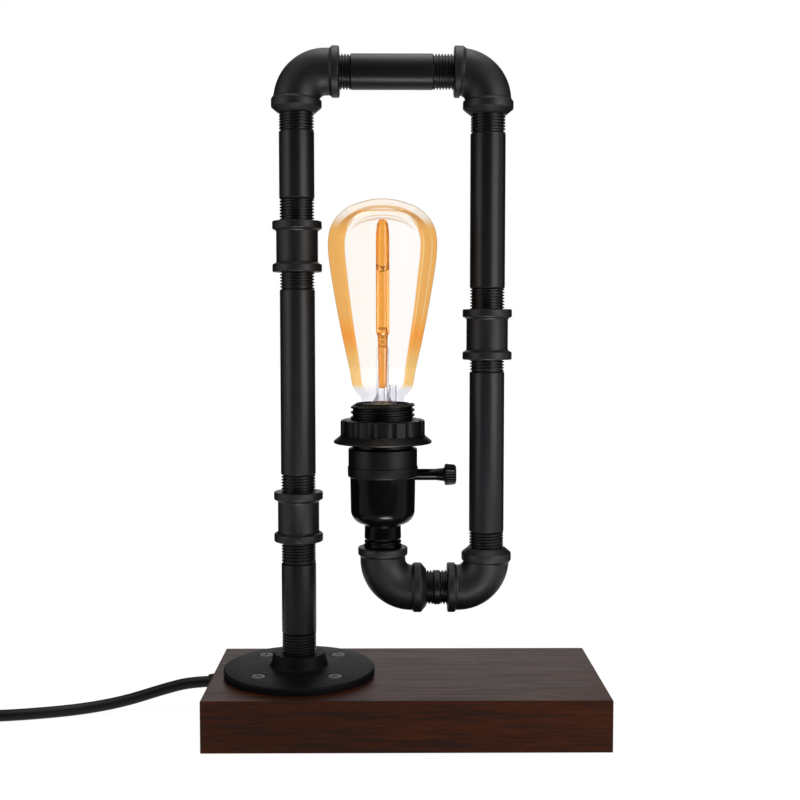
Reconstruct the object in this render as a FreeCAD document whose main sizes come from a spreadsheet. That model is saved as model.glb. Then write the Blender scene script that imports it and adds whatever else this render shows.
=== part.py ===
import FreeCAD, Part
import math
import os
from types import SimpleNamespace

import Sketcher
from FreeCAD import Placement, Rotation, Vector

# Industrial pipe table lamp: a wooden base, a loop of half-inch pipe and cast fittings screwed together,
# and a screw lampholder with a turn switch that stands inside the loop.
# Millimetres, +Z up, the origin on the table under the middle of the base, -Y is the front.

sizes = {
    # wooden base
    "base_length": 238.0,
    "base_depth": 110.5,
    "base_height": 30.5,
    "base_edge_radius": 0.8,
    "foot_diameter": 14.0,
    "foot_thickness": 2.5,
    "foot_stand_off": 1.0,
    "foot_margin": 11.5,
    "foot_play": 0.2,
    # wiring chamber under the base and its cover
    "chamber_length": 66.0,
    "chamber_width": 62.0,
    "chamber_corner_radius": 5.0,
    "chamber_left_wall": 26.0,
    "cover_ledge": 6.0,
    "cover_thickness": 2.4,
    "cover_play": 0.3,
    "cover_screw_diameter": 2.6,
    "cover_screw_head_diameter": 5.0,
    "cover_screw_length": 9.0,
    "wire_hole_diameter": 15.0,
    # cord entry
    "cord_diameter": 7.2,
    "cord_entry_from_back": 25.25,
    "cord_entry_height": 16.0,
    "grommet_bore_play": 0.1,
    "grommet_body_diameter": 11.0,
    "grommet_flange_diameter": 14.0,
    "grommet_flange_thickness": 2.0,
    "grommet_inner_length": 23.0,
    "grommet_tail_length": 6.0,
    "grommet_tail_diameter": 8.8,
    "grommet_fit": 0.1,
    "cord_inside_length": 22.0,
    "clamp_width": 8.0,
    "clamp_thickness": 2.5,
    "clamp_screw_spacing": 18.0,
    "clamp_screw_diameter": 2.6,
    "clamp_screw_length": 10.0,
    "clamp_wall_gap": 0.25,
    # connector block in the chamber
    "block_length": 20.0,
    "block_way_spacing": 8.0,
    "block_height": 12.0,
    "block_wall_gap": 1.0,
    "block_screw_diameter": 3.0,
    "core_spacing": 3.0,
    # floor flange
    "stem_inset": 53.1,
    "flange_diameter": 93.4,
    "flange_rim": 4.3,
    "flange_dome": 1.1,
    "flange_height": 11.5,
    "flange_hub_diameter": 32.4,
    "flange_hub_flare": 4.5,
    "flange_edge_radius": 0.9,
    "flange_hole_circle": 65.0,
    "flange_hole_diameter": 5.2,
    "flange_sink_diameter": 11.0,
    "flange_screw_diameter": 4.2,
    "flange_screw_head_diameter": 9.0,
    "flange_screw_length": 11.5,
    "flange_screw_sink": 0.6,
    # half-inch pipe
    "pipe_diameter": 21.3,
    "pipe_bore": 16.0,
    "thread_diameter": 19.8,
    "thread_length": 20.0,
    "thread_runout": 0.6,
    "thread_play": 0.05,
    "stem_lower_start": 14.6,
    "stem_lower_plain": 43.1,
    "stem_lower_end": 13.7,
    "stem_middle_start": 10.7,
    "stem_middle_plain": 112.7,
    "stem_middle_end": 10.6,
    "stem_upper_start": 13.4,
    "stem_upper_plain": 40.3,
    "stem_upper_end": 11.0,
    "top_run_start": 7.0,
    "top_run_plain": 49.5,
    "top_run_end": 12.6,
    "drop_upper_start": 11.3,
    "drop_upper_plain": 92.8,
    "drop_upper_end": 12.8,
    "drop_lower_start": 7.5,
    "drop_lower_plain": 98.0,
    "drop_lower_end": 10.0,
    "close_nipple_start": 5.7,
    "close_nipple_plain": 1.6,
    "close_nipple_end": 5.7,
    "close_thread_length": 13.5,
    # couplings
    "coupling_length": 30.6,
    "coupling_diameter": 25.4,
    "coupling_band_diameter": 30.0,
    "coupling_band_width": 4.6,
    "coupling_fillet": 2.2,
    # elbows
    "elbow_bend_radius": 17.5,
    "elbow_diameter": 27.8,
    "elbow_band_diameter": 30.5,
    "elbow_band_width": 4.3,
    "elbow_band_bevel": 0.6,
    "elbow_cone_length": 3.3,
    "elbow_waterway": 17.0,
    "elbow_thread_gap": 0.5,
    "upper_left_level_reach": 25.8,
    "upper_left_upright_reach": 24.5,
    "upper_right_level_reach": 20.6,
    "upper_right_upright_reach": 25.4,
    "lower_right_level_reach": 24.0,
    "lower_right_upright_reach": 25.2,
    "lower_left_level_reach": 26.7,
    "lower_left_upright_reach": 25.3,
    # bush and hollow tube that carry the lampholder
    "bush_collar_diameter": 23.6,
    "bush_collar_height": 4.9,
    "bush_thread_length": 10.0,
    "tube_diameter": 9.8,
    "tube_bore": 8.0,
    "tube_length": 24.0,
    "tube_play": 0.1,
    # lampholder cap
    "cap_neck_diameter": 22.6,
    "cap_neck_height": 9.6,
    "cap_diameter": 40.0,
    "cap_height": 29.1,
    "cap_corner_radius": 8.2,
    "cap_wall": 1.6,
    # lampholder body
    "holder_belt_diameter": 43.2,
    "holder_belt_height": 6.5,
    "holder_sleeve_diameter": 42.9,
    "holder_sleeve_height": 11.1,
    "holder_thread_diameter": 38.0,
    "holder_thread_length": 28.3,
    "holder_mouth_diameter": 31.4,
    "holder_mouth_chamfer": 1.6,
    "holder_skirt_length": 7.0,
    "holder_skirt_play": 0.15,
    "holder_wall": 1.8,
    # shade ring
    "ring_flange_diameter": 60.3,
    "ring_flange_thickness": 1.6,
    "ring_flange_rise": 2.6,
    "ring_skirt_diameter": 51.8,
    "ring_height": 14.6,
    "ring_play": 1.0,
    "ring_above_sleeve": 3.2,
    "ring_grip_count": 14.0,
    "ring_grip_radius": 6.5,
    "ring_grip_depth": 1.1,
    # inside of the lampholder
    "carrier_height": 6.0,
    "carrier_play": 0.3,
    "shell_diameter": 27.9,
    "shell_wall": 0.5,
    "shell_height": 24.0,
    "contact_width": 6.0,
    "contact_thickness": 0.5,
    "contact_foot": 4.0,
    "switch_length": 22.0,
    "switch_width": 18.0,
    "switch_height": 13.0,
    "rotor_diameter": 9.0,
    "rotor_thickness": 3.0,
    "rotor_play": 0.4,
    "terminal_screw_diameter": 3.0,
    "terminal_screw_head": 5.4,
    # switch knob
    "shaft_diameter": 3.6,
    "shaft_length": 28.0,
    "shaft_start": 6.0,
    "shaft_play": 0.1,
    "knob_stem_diameter": 7.25,
    "knob_stem_start": 17.0,
    "knob_stem_end": 36.4,
    "knob_flare": 1.1,
    "knob_head_diameter": 13.3,
    "knob_tip_diameter": 12.0,
    "knob_end": 45.0,
    "knob_rib_count": 18.0,
    "knob_rib_groove": 0.9,
    "knob_seat_height": 1.2,
    "knob_hole_play": 0.5,
    # bulb
    "bulb_seat_height": 16.0,
    "bulb_height": 124.7,
    "bulb_diameter": 66.3,
    "bulb_widest_height": 98.0,
    "bulb_crown_half_width": 21.8,
    "bulb_crown_drop": 5.6,
    "bulb_knuckle_radius": 25.3,
    "bulb_shoulder_height": 80.6,
    "bulb_shoulder_half_width": 31.6,
    "bulb_shoulder_radius": 100.0,
    "bulb_waist_height": 12.4,
    "bulb_waist_half_width": 18.75,
    "bulb_side_radius": 1000.0,
    "bulb_foot_height": 4.0,
    "bulb_foot_radius": 12.0,
    "bulb_neck_diameter": 26.0,
    "bulb_neck_depth": 4.0,
    "bulb_glass_wall": 0.8,
    "bulb_cap_diameter": 26.2,
    "bulb_cap_rim_diameter": 27.2,
    "bulb_cap_height": 21.5,
    "bulb_cap_wall": 0.4,
    "bulb_cap_cone_height": 3.0,
    "bulb_tip_diameter": 9.6,
    "bulb_tip_height": 1.6,
    "bulb_tip_gap": 0.3,
    "bulb_stem_diameter": 6.0,
    "bulb_stem_height": 108.0,
    "bulb_stem_flare": 9.5,
    "filament_diameter": 1.9,
    "filament_length": 37.6,
    "filament_start": 44.0,
    "filament_circle": 8.4,
    "filament_count": 4.0,
    "support_wire_diameter": 0.5,
    # leads inside the pipe
    "lead_diameter": 2.6,
    "lead_spacing": 3.4,
    # coiled rest of the cord, its tie and plug
    "coil_mean_radius": 40.0,
    "coil_columns": 2.0,
    "coil_layers": 3.0,
    "coil_centre_left": 290.0,
    "coil_entry_back": 0.7,
    "tie_thickness": 0.8,
    "tie_width": 8.0,
    "plug_length": 32.0,
    "plug_width": 25.0,
    "plug_height": 17.0,
    "plug_corner": 4.0,
    "plug_nose_length": 10.0,
    "plug_nose_diameter": 11.0,
    "pin_length": 17.0,
    "pin_width": 6.3,
    "pin_thickness": 1.5,
    "pin_spacing": 12.7,
}

doc = FreeCAD.newDocument("PipeTableLamp")
sheet = doc.addObject("Spreadsheet::Sheet", "Sizes")
for row, (name, value) in enumerate(sizes.items(), 1):
    sheet.set(f"A{row}", name)
    sheet.set(f"B{row}", str(value))
    sheet.setAlias(f"B{row}", name)
doc.recompute()


class Size:
    # A length that is known both as a number and as the sheet expression that gives it.
    def __init__(self, number, text):
        self.number = number
        self.text = text

    def __add__(self, other):
        return Size(self.number + number(other), f"({self.text} + {text(other)})")

    def __sub__(self, other):
        return Size(self.number - number(other), f"({self.text} - {text(other)})")

    def __rsub__(self, other):
        return Size(number(other) - self.number, f"({text(other)} - {self.text})")

    def __mul__(self, other):
        return Size(self.number * number(other), f"({self.text} * {text(other)})")

    def __truediv__(self, other):
        return Size(self.number / number(other), f"({self.text} / {text(other)})")

    def __neg__(self):
        return Size(-self.number, f"(0 - {self.text})")

    __radd__ = __add__
    __rmul__ = __mul__


def number(value):
    return value.number if isinstance(value, Size) else float(value)


def text(value):
    return value.text if isinstance(value, Size) else repr(float(value))


s = SimpleNamespace(**{name: Size(float(getattr(sheet, name)), f"Sizes.{name}") for name in sizes})
nodes = []


# ---- building blocks -------------------------------------------------------------------------------

def keep(item, label):
    item.Label = label
    nodes.append(item)
    return item


def new_body(label):
    return keep(doc.addObject("PartDesign::Body", label.title().replace("_", "")), label)


def new_group(label, shapes):
    # identical small pieces that share one node, as separate solids
    group = doc.addObject("Part::Feature", label.title().replace("_", ""))
    group.Shape = Part.makeCompound(shapes)
    return keep(group, label)


def place(body, x=0, y=0, z=0, turn=None):
    body.Placement = Placement(Vector(number(x), number(y), number(z)), turn or Rotation())
    for axis, value in zip("xyz", (x, y, z)):
        if isinstance(value, Size):
            body.setExpression(f"Placement.Base.{axis}", value.text)


def new_sketch(body, role, height=0):
    sketch = body.newObject("Sketcher::SketchObject", f"{body.Name}Sketch")
    plane = next(item for item in body.Origin.OriginFeatures if item.Role == role)
    sketch.AttachmentSupport = [(plane, "")]
    sketch.MapMode = "FlatFace"
    sketch.AttachmentOffset = Placement(Vector(0, 0, number(height)), Rotation())
    if isinstance(height, Size):
        sketch.setExpression("AttachmentOffset.Base.z", height.text)
    return sketch


def bind(sketch, kind, *rest):
    # adds a dimension and ties it to the sheet
    *places, value = rest
    index = sketch.addConstraint(Sketcher.Constraint(kind, *places, number(value)))
    if isinstance(value, Size):
        sketch.setExpression(f"Constraints[{index}]", value.text)


def pin_point(sketch, edge, end, x, y):
    for kind, axis, value in (("DistanceX", -2, x), ("DistanceY", -1, y)):
        if number(value) == 0:
            sketch.addConstraint(Sketcher.Constraint("PointOnObject", edge, end, axis))
        else:
            bind(sketch, kind, -1, 1, edge, end, value)


def arc_between(start, end, radius):
    # an arc from start to end that turns left for a positive radius and right for a negative one
    middle = (start + end) * 0.5
    chord = end - start
    side = Vector(-chord.y, chord.x, 0).normalize() * math.copysign(1, radius)
    centre = middle + side * math.sqrt(max(radius * radius - chord.Length ** 2 / 4, 0))
    first, last = (start, end) if radius > 0 else (end, start)
    angles = [math.atan2(point.y - centre.y, point.x - centre.x) for point in (first, last)]
    if angles[1] < angles[0]:
        angles[1] += 2 * math.pi
    return Part.ArcOfCircle(Part.Circle(centre, Vector(0, 0, 1), abs(radius)), *angles)


def draw_outline(sketch, corners):
    # A closed outline. A corner is (x, y), or (x, y, radius) where the edge that reaches it is an arc.
    # An arc that ends on the axis is centred on it, so its radius follows from its ends.
    points = [Vector(number(corner[0]), number(corner[1]), 0) for corner in corners]
    ends = []
    for index, corner in enumerate(corners):
        start, end = points[index - 1], points[index]
        if len(corner) == 2:
            edge = sketch.addGeometry(Part.LineSegment(start, end), False)
            ends.append((edge, 1, 2))
            continue
        radius = number(corner[2])
        edge = sketch.addGeometry(arc_between(start, end, radius), False)
        ends.append((edge, 1, 2) if radius > 0 else (edge, 2, 1))
        if end.x == 0:
            sketch.addConstraint(Sketcher.Constraint("PointOnObject", edge, 3, -2))
        else:
            bind(sketch, "Radius", edge, corner[2] if radius > 0 else -corner[2])
    for index, corner in enumerate(corners):
        edge, _, last = ends[index]
        after, first, _ = ends[(index + 1) % len(ends)]
        sketch.addConstraint(Sketcher.Constraint("Coincident", edge, last, after, first))
        pin_point(sketch, edge, last, corner[0], corner[1])


def draw_circle(sketch, x, y, diameter):
    centre = Vector(number(x), number(y), 0)
    edge = sketch.addGeometry(Part.Circle(centre, Vector(0, 0, 1), number(diameter) / 2), False)
    pin_point(sketch, edge, 3, x, y)
    bind(sketch, "Diameter", edge, diameter)


def draw_line(sketch, x1, y1, x2, y2, construction=False):
    ends = Vector(number(x1), number(y1), 0), Vector(number(x2), number(y2), 0)
    edge = sketch.addGeometry(Part.LineSegment(*ends), construction)
    pin_point(sketch, edge, 1, x1, y1)
    pin_point(sketch, edge, 2, x2, y2)


def draw_quarter(sketch, radius):
    # a quarter of a circle about the origin, from its left to its top
    circle = Part.Circle(Vector(0, 0, 0), Vector(0, 0, 1), number(radius))
    edge = sketch.addGeometry(Part.ArcOfCircle(circle, math.pi / 2, math.pi), False)
    sketch.addConstraint(Sketcher.Constraint("Coincident", edge, 3, -1, 1))
    pin_point(sketch, edge, 1, 0, radius)
    sketch.addConstraint(Sketcher.Constraint("PointOnObject", edge, 2, -1))


def turn_profile(body, corners, kind="Revolution", role="XZ_Plane", axis=None, angle=360.0):
    sketch = new_sketch(body, role)
    draw_outline(sketch, corners)
    if axis:
        draw_line(sketch, *axis, construction=True)
    feature = body.newObject(f"PartDesign::{kind}", kind)
    feature.Profile = sketch
    feature.ReferenceAxis = (sketch, ["Axis0" if axis else "V_Axis"])
    feature.Angle = angle
    return feature


def extrude(body, kind, length, role="XY_Plane", height=0, corners=None, circles=(), back=False, through=False):
    sketch = new_sketch(body, role, height)
    if corners:
        draw_outline(sketch, corners)
    for circle in circles:
        draw_circle(sketch, *circle)
    feature = body.newObject(f"PartDesign::{kind}", kind)
    feature.Profile = sketch
    feature.Reversed = back
    if through:
        feature.Type = 1
    else:
        feature.Length = number(length)
        if isinstance(length, Size):
            feature.setExpression("Length", length.text)
    return feature


def rounded_box(left, front, right, back, radius):
    # a rectangle with round corners, drawn to the left
    return [
        (right - radius, front),
        (right, front + radius, radius),
        (right, back - radius),
        (right - radius, back, radius),
        (left + radius, back),
        (left, back - radius, radius),
        (left, front + radius),
        (left + radius, front, radius),
    ]


def box(left, front, right, back):
    return [(right, front), (right, back), (left, back), (left, front)]


def round_edges(body, feature, radius, chosen):
    doc.recompute()
    names = [f"Edge{index}" for index, edge in enumerate(feature.Shape.Edges, 1) if chosen(edge)]
    fillet = body.newObject("PartDesign::Fillet", "Fillet")
    fillet.Base = (feature, names)
    fillet.Radius = number(radius)
    fillet.setExpression("Radius", radius.text)
    return fillet


def repeat_around(body, feature, count):
    pattern = body.newObject("PartDesign::PolarPattern", "Around")
    pattern.Originals = [feature]
    axis = next(item for item in body.Origin.OriginFeatures if item.Role == "Z_Axis")
    pattern.Axis = (axis, [""])
    pattern.Angle = 360.0
    pattern.Occurrences = round(number(count))
    if isinstance(count, Size):
        pattern.setExpression("Occurrences", count.text)
    body.Tip = pattern
    return pattern


def screw(head, shank, length, point=True):
    # a countersunk screw standing on its point, its head's top face at z = 0
    head_height = (head - shank) / 2
    straight = length - shank if point else length
    shape = Part.makeCone(shank / 2, head / 2, head_height, Vector(0, 0, -head_height))
    shape = shape.fuse(Part.makeCylinder(shank / 2, straight - head_height, Vector(0, 0, -straight)))
    if point:
        shape = shape.fuse(Part.makeCone(0, shank / 2, shank, Vector(0, 0, -length)))
    return shape.removeSplitter()


def set_down(shape, x, y, z, turn=None):
    placed = shape.copy()
    placed.Placement = Placement(Vector(x, y, z), turn or Rotation())
    return placed


upside_down = Rotation(Vector(1, 0, 0), 180)
half_turn = Rotation(Vector(0, 0, 1), 180)
over_side = Rotation(Vector(0, 1, 0), 180)
along_x = Rotation(Vector(0, 1, 0), 90)


# ---- wooden base -----------------------------------------------------------------------------------

base_left = -s.base_length / 2
base_right = s.base_length / 2
base_front = -s.base_depth / 2
base_back = s.base_depth / 2
base_bottom = s.foot_stand_off
base_top = base_bottom + s.base_height
stem_x = base_left + s.stem_inset
chamber_left = base_left + s.chamber_left_wall
chamber_right = chamber_left + s.chamber_length
cord_y = base_back - s.cord_entry_from_back
chamber_back = cord_y + s.clamp_screw_spacing / 2 + s.clamp_width / 2 + s.clamp_wall_gap
chamber_front = chamber_back - s.chamber_width
cord_z = base_bottom + s.cord_entry_height
chamber_top = cord_z + s.cord_diameter / 2
foot_places = [
    (base_left + s.foot_margin, base_front + s.foot_margin),
    (base_right - s.foot_margin, base_front + s.foot_margin),
    (base_right - s.foot_margin, base_back - s.foot_margin),
    (base_left + s.foot_margin, base_back - s.foot_margin),
]
cover_screw_places = [
    (x, y)
    for x in (chamber_left - s.cover_ledge / 2, chamber_right + s.cover_ledge / 2)
    for y in (chamber_front + s.chamber_corner_radius, chamber_back - s.chamber_corner_radius)
]
clamp_x = chamber_left + s.cord_inside_length / 2
clamp_screw_places = [(clamp_x, cord_y - s.clamp_screw_spacing / 2), (clamp_x, cord_y + s.clamp_screw_spacing / 2)]
flange_hole_offset = s.flange_hole_circle / (2 * math.sqrt(2))
flange_screw_places = [
    (stem_x + side * flange_hole_offset, depth * flange_hole_offset) for side in (-1, 1) for depth in (-1, 1)
]
flange_screw_top = base_top + s.flange_rim + s.flange_dome / 2 - s.flange_screw_sink


def make_base():
    body = new_body("base_block")
    block = extrude(body, "Pad", s.base_height, corners=box(base_left, base_front, base_right, base_back))
    height = s.base_height.number
    round_edges(body, block, s.base_edge_radius, lambda edge: edge.BoundBox.ZMax > height - 0.01)
    chamber = rounded_box(
        chamber_left, chamber_front, chamber_right, chamber_back, s.chamber_corner_radius)
    extrude(body, "Pocket", chamber_top - base_bottom, corners=chamber, back=True)
    ledge = rounded_box(
        chamber_left - s.cover_ledge, chamber_front - s.cover_ledge,
        chamber_right + s.cover_ledge, chamber_back + s.cover_ledge,
        s.chamber_corner_radius)
    extrude(body, "Pocket", s.cover_thickness, corners=ledge, back=True)
    feet = [(x, y, s.foot_diameter + 2 * s.foot_play) for x, y in foot_places]
    extrude(body, "Pocket", s.foot_thickness - s.foot_stand_off, circles=feet, back=True)
    extrude(body, "Pocket", 0, circles=[(stem_x, 0, s.wire_hole_diameter)], back=True, through=True)
    pilots = [(x, y, s.cover_screw_diameter) for x, y in cover_screw_places]
    extrude(body, "Pocket", s.cover_screw_length + s.cover_play, circles=pilots, back=True)
    pilots = [(x, y, s.flange_screw_diameter) for x, y in flange_screw_places]
    reach = s.flange_screw_length - (s.flange_rim + s.flange_dome / 2 - s.flange_screw_sink)
    extrude(body, "Pocket", reach, height=s.base_height, circles=pilots)
    pilots = [(x, y, s.clamp_screw_diameter) for x, y in clamp_screw_places]
    roof = chamber_top - base_bottom
    extrude(body, "Pocket", s.clamp_screw_length, height=roof, circles=pilots, back=True)
    entry = [(cord_y, cord_z - base_bottom, s.grommet_body_diameter + 2 * s.grommet_fit)]
    extrude(body, "Pocket", s.chamber_left_wall, role="YZ_Plane", height=base_left, circles=entry, back=True)
    place(body, z=base_bottom)


def make_cover():
    body = new_body("bottom_cover")
    plate = rounded_box(
        chamber_left - s.cover_ledge + s.cover_play, chamber_front - s.cover_ledge + s.cover_play,
        chamber_right + s.cover_ledge - s.cover_play, chamber_back + s.cover_ledge - s.cover_play,
        s.chamber_corner_radius)
    extrude(body, "Pad", s.cover_thickness - s.cover_play, corners=plate)
    head = s.cover_screw_head_diameter
    for x, y in cover_screw_places:
        sketch_height = (head - s.cover_screw_diameter) / 2
        turn_profile(
            body,
            [(x, 0), (x + head / 2 + s.cover_play, 0), (x + s.cover_screw_diameter / 2 + s.cover_play, sketch_height),
             (x + s.cover_screw_diameter / 2 + s.cover_play, s.cover_thickness), (x, s.cover_thickness)],
            kind="Groove", axis=(x, 0, x, s.cover_thickness))
        body.Group[-2].AttachmentOffset = Placement(Vector(0, 0, -y.number), Rotation())
        body.Group[-2].setExpression("AttachmentOffset.Base.z", (-y).text)
    place(body, z=base_bottom + s.cover_play)


def make_feet():
    foot = Part.makeCylinder(s.foot_diameter.number / 2, s.foot_thickness.number)
    edges = [edge for edge in foot.Edges if edge.BoundBox.ZMax < 0.01]
    foot = foot.makeFillet(s.foot_stand_off.number / 2, edges)
    new_group("foot_pads", [set_down(foot, x.number, y.number, 0) for x, y in foot_places])


def make_cover_screws():
    fastener = screw(s.cover_screw_head_diameter.number, s.cover_screw_diameter.number, s.cover_screw_length.number)
    bottom = (base_bottom + s.cover_play).number
    group = [set_down(fastener, x.number, y.number, bottom, upside_down) for x, y in cover_screw_places]
    new_group("cover_screws", group)


# ---- cord entry and connector block ----------------------------------------------------------------

block_x = chamber_right - s.block_wall_gap - s.block_length / 2
block_y = s.block_way_spacing
block_bottom = chamber_top - s.block_height
block_way_z = block_bottom + s.block_height / 2
way_places = [block_y + (index - 1.5) * s.block_way_spacing for index in range(4)]



def make_grommet():
    # turned about the cord; its own z runs outwards from the end face of the base
    body = new_body("cord_grommet")
    bore = s.cord_diameter / 2 + s.grommet_bore_play
    turn_profile(body, [
        (bore, -s.grommet_inner_length),
        (s.grommet_body_diameter / 2, -s.grommet_inner_length),
        (s.grommet_body_diameter / 2, 0),
        (s.grommet_flange_diameter / 2, 0),
        (s.grommet_flange_diameter / 2, s.grommet_flange_thickness / 2),
        (s.grommet_flange_diameter / 2 - s.grommet_flange_thickness / 2, s.grommet_flange_thickness,
         s.grommet_flange_thickness / 2),
        (s.grommet_body_diameter / 2, s.grommet_flange_thickness),
        (s.grommet_tail_diameter / 2, s.grommet_flange_thickness + s.grommet_tail_length),
        (bore, s.grommet_flange_thickness + s.grommet_tail_length),
    ])
    place(body, base_left, cord_y, cord_z, Rotation(Vector(0, 1, 0), -90))


def make_clamp():
    # a saddle that presses the cord against the roof of the chamber
    body = new_body("cord_clamp")
    half = s.clamp_screw_spacing / 2 + s.clamp_width / 2
    inner = s.cord_diameter / 2
    outer = inner + s.clamp_thickness
    foot = s.clamp_thickness
    top = inner
    extrude(body, "Pad", s.clamp_width, role="YZ_Plane", corners=[
        (half, top), (inner, top), (inner, 0), (0, -inner, -inner), (-inner, 0, -inner), (-inner, top),
        (-half, top), (-half, top - foot), (-outer, top - foot), (-outer, 0), (0, -outer, outer),
        (outer, 0, outer), (outer, top - foot), (half, top - foot),
    ])
    holes = [(s.clamp_width / 2, side * s.clamp_screw_spacing / 2, s.clamp_screw_diameter + 2 * s.cover_play)
             for side in (-1, 1)]
    extrude(body, "Pocket", 0, circles=holes, height=-outer, back=True, through=True)
    place(body, clamp_x - s.clamp_width / 2, cord_y, cord_z)


def make_clamp_screws():
    length, shank, head = (s.clamp_screw_length.number, s.clamp_screw_diameter.number,
                           s.cover_screw_head_diameter.number)
    dome = Part.makeCylinder(head / 2, shank / 2, Vector(0, 0, 0))
    fastener = dome.fuse(Part.makeCylinder(shank / 2, length - shank / 2, Vector(0, 0, shank / 2 - length)))
    top = (chamber_top - s.clamp_thickness).number
    group = [set_down(fastener.removeSplitter(), x.number, y.number, top, upside_down)
             for x, y in clamp_screw_places]
    new_group("clamp_screws", group)


def make_cord_inside():
    body = new_body("cord_inside")
    length = s.cord_inside_length + s.chamber_left_wall
    extrude(body, "Pad", length, role="YZ_Plane", circles=[(0, 0, s.cord_diameter)])
    place(body, base_left, cord_y, cord_z)


def make_connector_block():
    # four ways in one face: two leads and the two cores of the cord, each clamped by its own screw
    body = new_body("connector_block")
    half_length, half_width = s.block_length / 2, 2 * s.block_way_spacing
    extrude(body, "Pad", s.block_height, corners=box(-half_length, -half_width, half_length, half_width))
    ways = [(y - block_y, block_way_z - block_bottom, s.lead_diameter + 2 * s.cover_play) for y in way_places]
    extrude(body, "Pocket", s.block_length - s.cover_thickness, role="YZ_Plane", height=-half_length,
            circles=ways, back=True)
    wells = [(0, y - block_y, s.block_screw_diameter) for y in way_places]
    extrude(body, "Pocket", block_way_z - block_bottom, circles=wells, back=True)
    place(body, block_x, block_y, block_bottom)


def make_connector_screws():
    stud = Part.makeCylinder(s.block_screw_diameter.number / 2, s.block_height.number / 4)
    group = [set_down(stud, block_x.number, y.number, block_bottom.number) for y in way_places]
    new_group("connector_screws", group)


def make_cord_cores():
    # the two cores leave the end of the sheath and run to the last two ways
    sheath_end = (base_left + s.chamber_left_wall + s.cord_inside_length).number
    face = (block_x - s.block_length / 2).number
    reach = (face - sheath_end) / 3
    cores = []
    for side, way in zip((-1, 1), way_places[2:]):
        start = Vector(sheath_end, cord_y.number + side * s.core_spacing.number / 2, cord_z.number)
        end = Vector(face, way.number, block_way_z.number)
        points = [start, start + Vector(reach, 0, 0), end - Vector(reach, 0, 0), end]
        cores.append(sweep_along(rounded_route(points)[0], points, s.lead_diameter.number))
    new_group("cord_cores", cores)


# ---- pipes and fittings ----------------------------------------------------------------------------

thread_bore = s.thread_diameter / 2 + s.thread_play
hub_top = base_top + s.flange_height


def make_flange():
    body = new_body("floor_flange")
    rim, dome, height = s.flange_rim, s.flange_dome, s.flange_height
    outer, hub, edge, flare = s.flange_diameter / 2, s.flange_hub_diameter / 2, s.flange_edge_radius, s.flange_hub_flare
    turn_profile(body, [
        (thread_bore, 0),
        (outer, 0),
        (outer, rim - edge),
        (outer - edge, rim, edge),
        (hub + flare, rim + dome),
        (hub, rim + dome + flare / 2, -flare * 1.4),
        (hub, height - edge),
        (hub - edge, height, edge),
        (thread_bore, height),
    ])
    x = s.flange_hole_circle / 2
    sink, hole = s.flange_sink_diameter / 2, s.flange_hole_diameter / 2
    face = rim + dome / 2
    screw_hole = turn_profile(body, [
        (x, -dome),
        (x + hole, -dome),
        (x + hole, face - (sink - hole)),
        (x + sink, face),
        (x + sink, face + dome),
        (x, face + dome),
    ], kind="Groove", axis=(x, 0, x, rim))
    repeat_around(body, screw_hole, len(flange_screw_places))
    place(body, x=stem_x, z=base_top, turn=Rotation(Vector(0, 0, 1), 45))


def make_flange_screws():
    fastener = screw(
        s.flange_screw_head_diameter.number, s.flange_screw_diameter.number, s.flange_screw_length.number)
    group = [set_down(fastener, x.number, y.number, flange_screw_top.number) for x, y in flange_screw_places]
    new_group("flange_screws", group)


def run_sizes(run):
    return [getattr(s, f"{run}_{part}") for part in ("start", "plain", "end")]


def shown(run):
    start, plain, end = run_sizes(run)
    return start + plain + end


def thread_of(run):
    return s.close_thread_length if run == "close_nipple" else s.thread_length


def sunk_start(run):
    return thread_of(run) - run_sizes(run)[0]


def sunk_end(run):
    return thread_of(run) - run_sizes(run)[2]


def make_nipple(run, x, z, turn=None):
    # a threaded piece of pipe whose own z starts at the face of the fitting that it leaves
    body = new_body(run)
    start, plain, end = run_sizes(run)
    bore, thread, outer, slope = s.pipe_bore / 2, s.thread_diameter / 2, s.pipe_diameter / 2, s.thread_runout
    if run == "close_nipple":
        outer = thread + slope / 2
    top = start + plain + end + sunk_end(run)
    turn_profile(body, [
        (bore, -sunk_start(run)),
        (thread - slope, -sunk_start(run)),
        (thread, slope - sunk_start(run)),
        (thread, start),
        (outer, start + slope),
        (outer, start + plain - slope),
        (thread, start + plain),
        (thread, top - slope),
        (thread - slope, top),
        (bore, top),
    ])
    place(body, x=x, z=z, turn=turn)


def make_coupling(label, x, z):
    body = new_body(label)
    length, width, fillet = s.coupling_length, s.coupling_band_width, s.coupling_fillet
    core, band = s.coupling_diameter / 2, s.coupling_band_diameter / 2
    turn_profile(body, [
        (thread_bore, 0),
        (band, 0),
        (band, width),
        (core + fillet, width),
        (core, width + fillet, -fillet),
        (core, length - width - fillet),
        (core + fillet, length - width, -fillet),
        (band, length - width),
        (band, length),
        (thread_bore, length),
    ])
    place(body, x=x, z=z)


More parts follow.
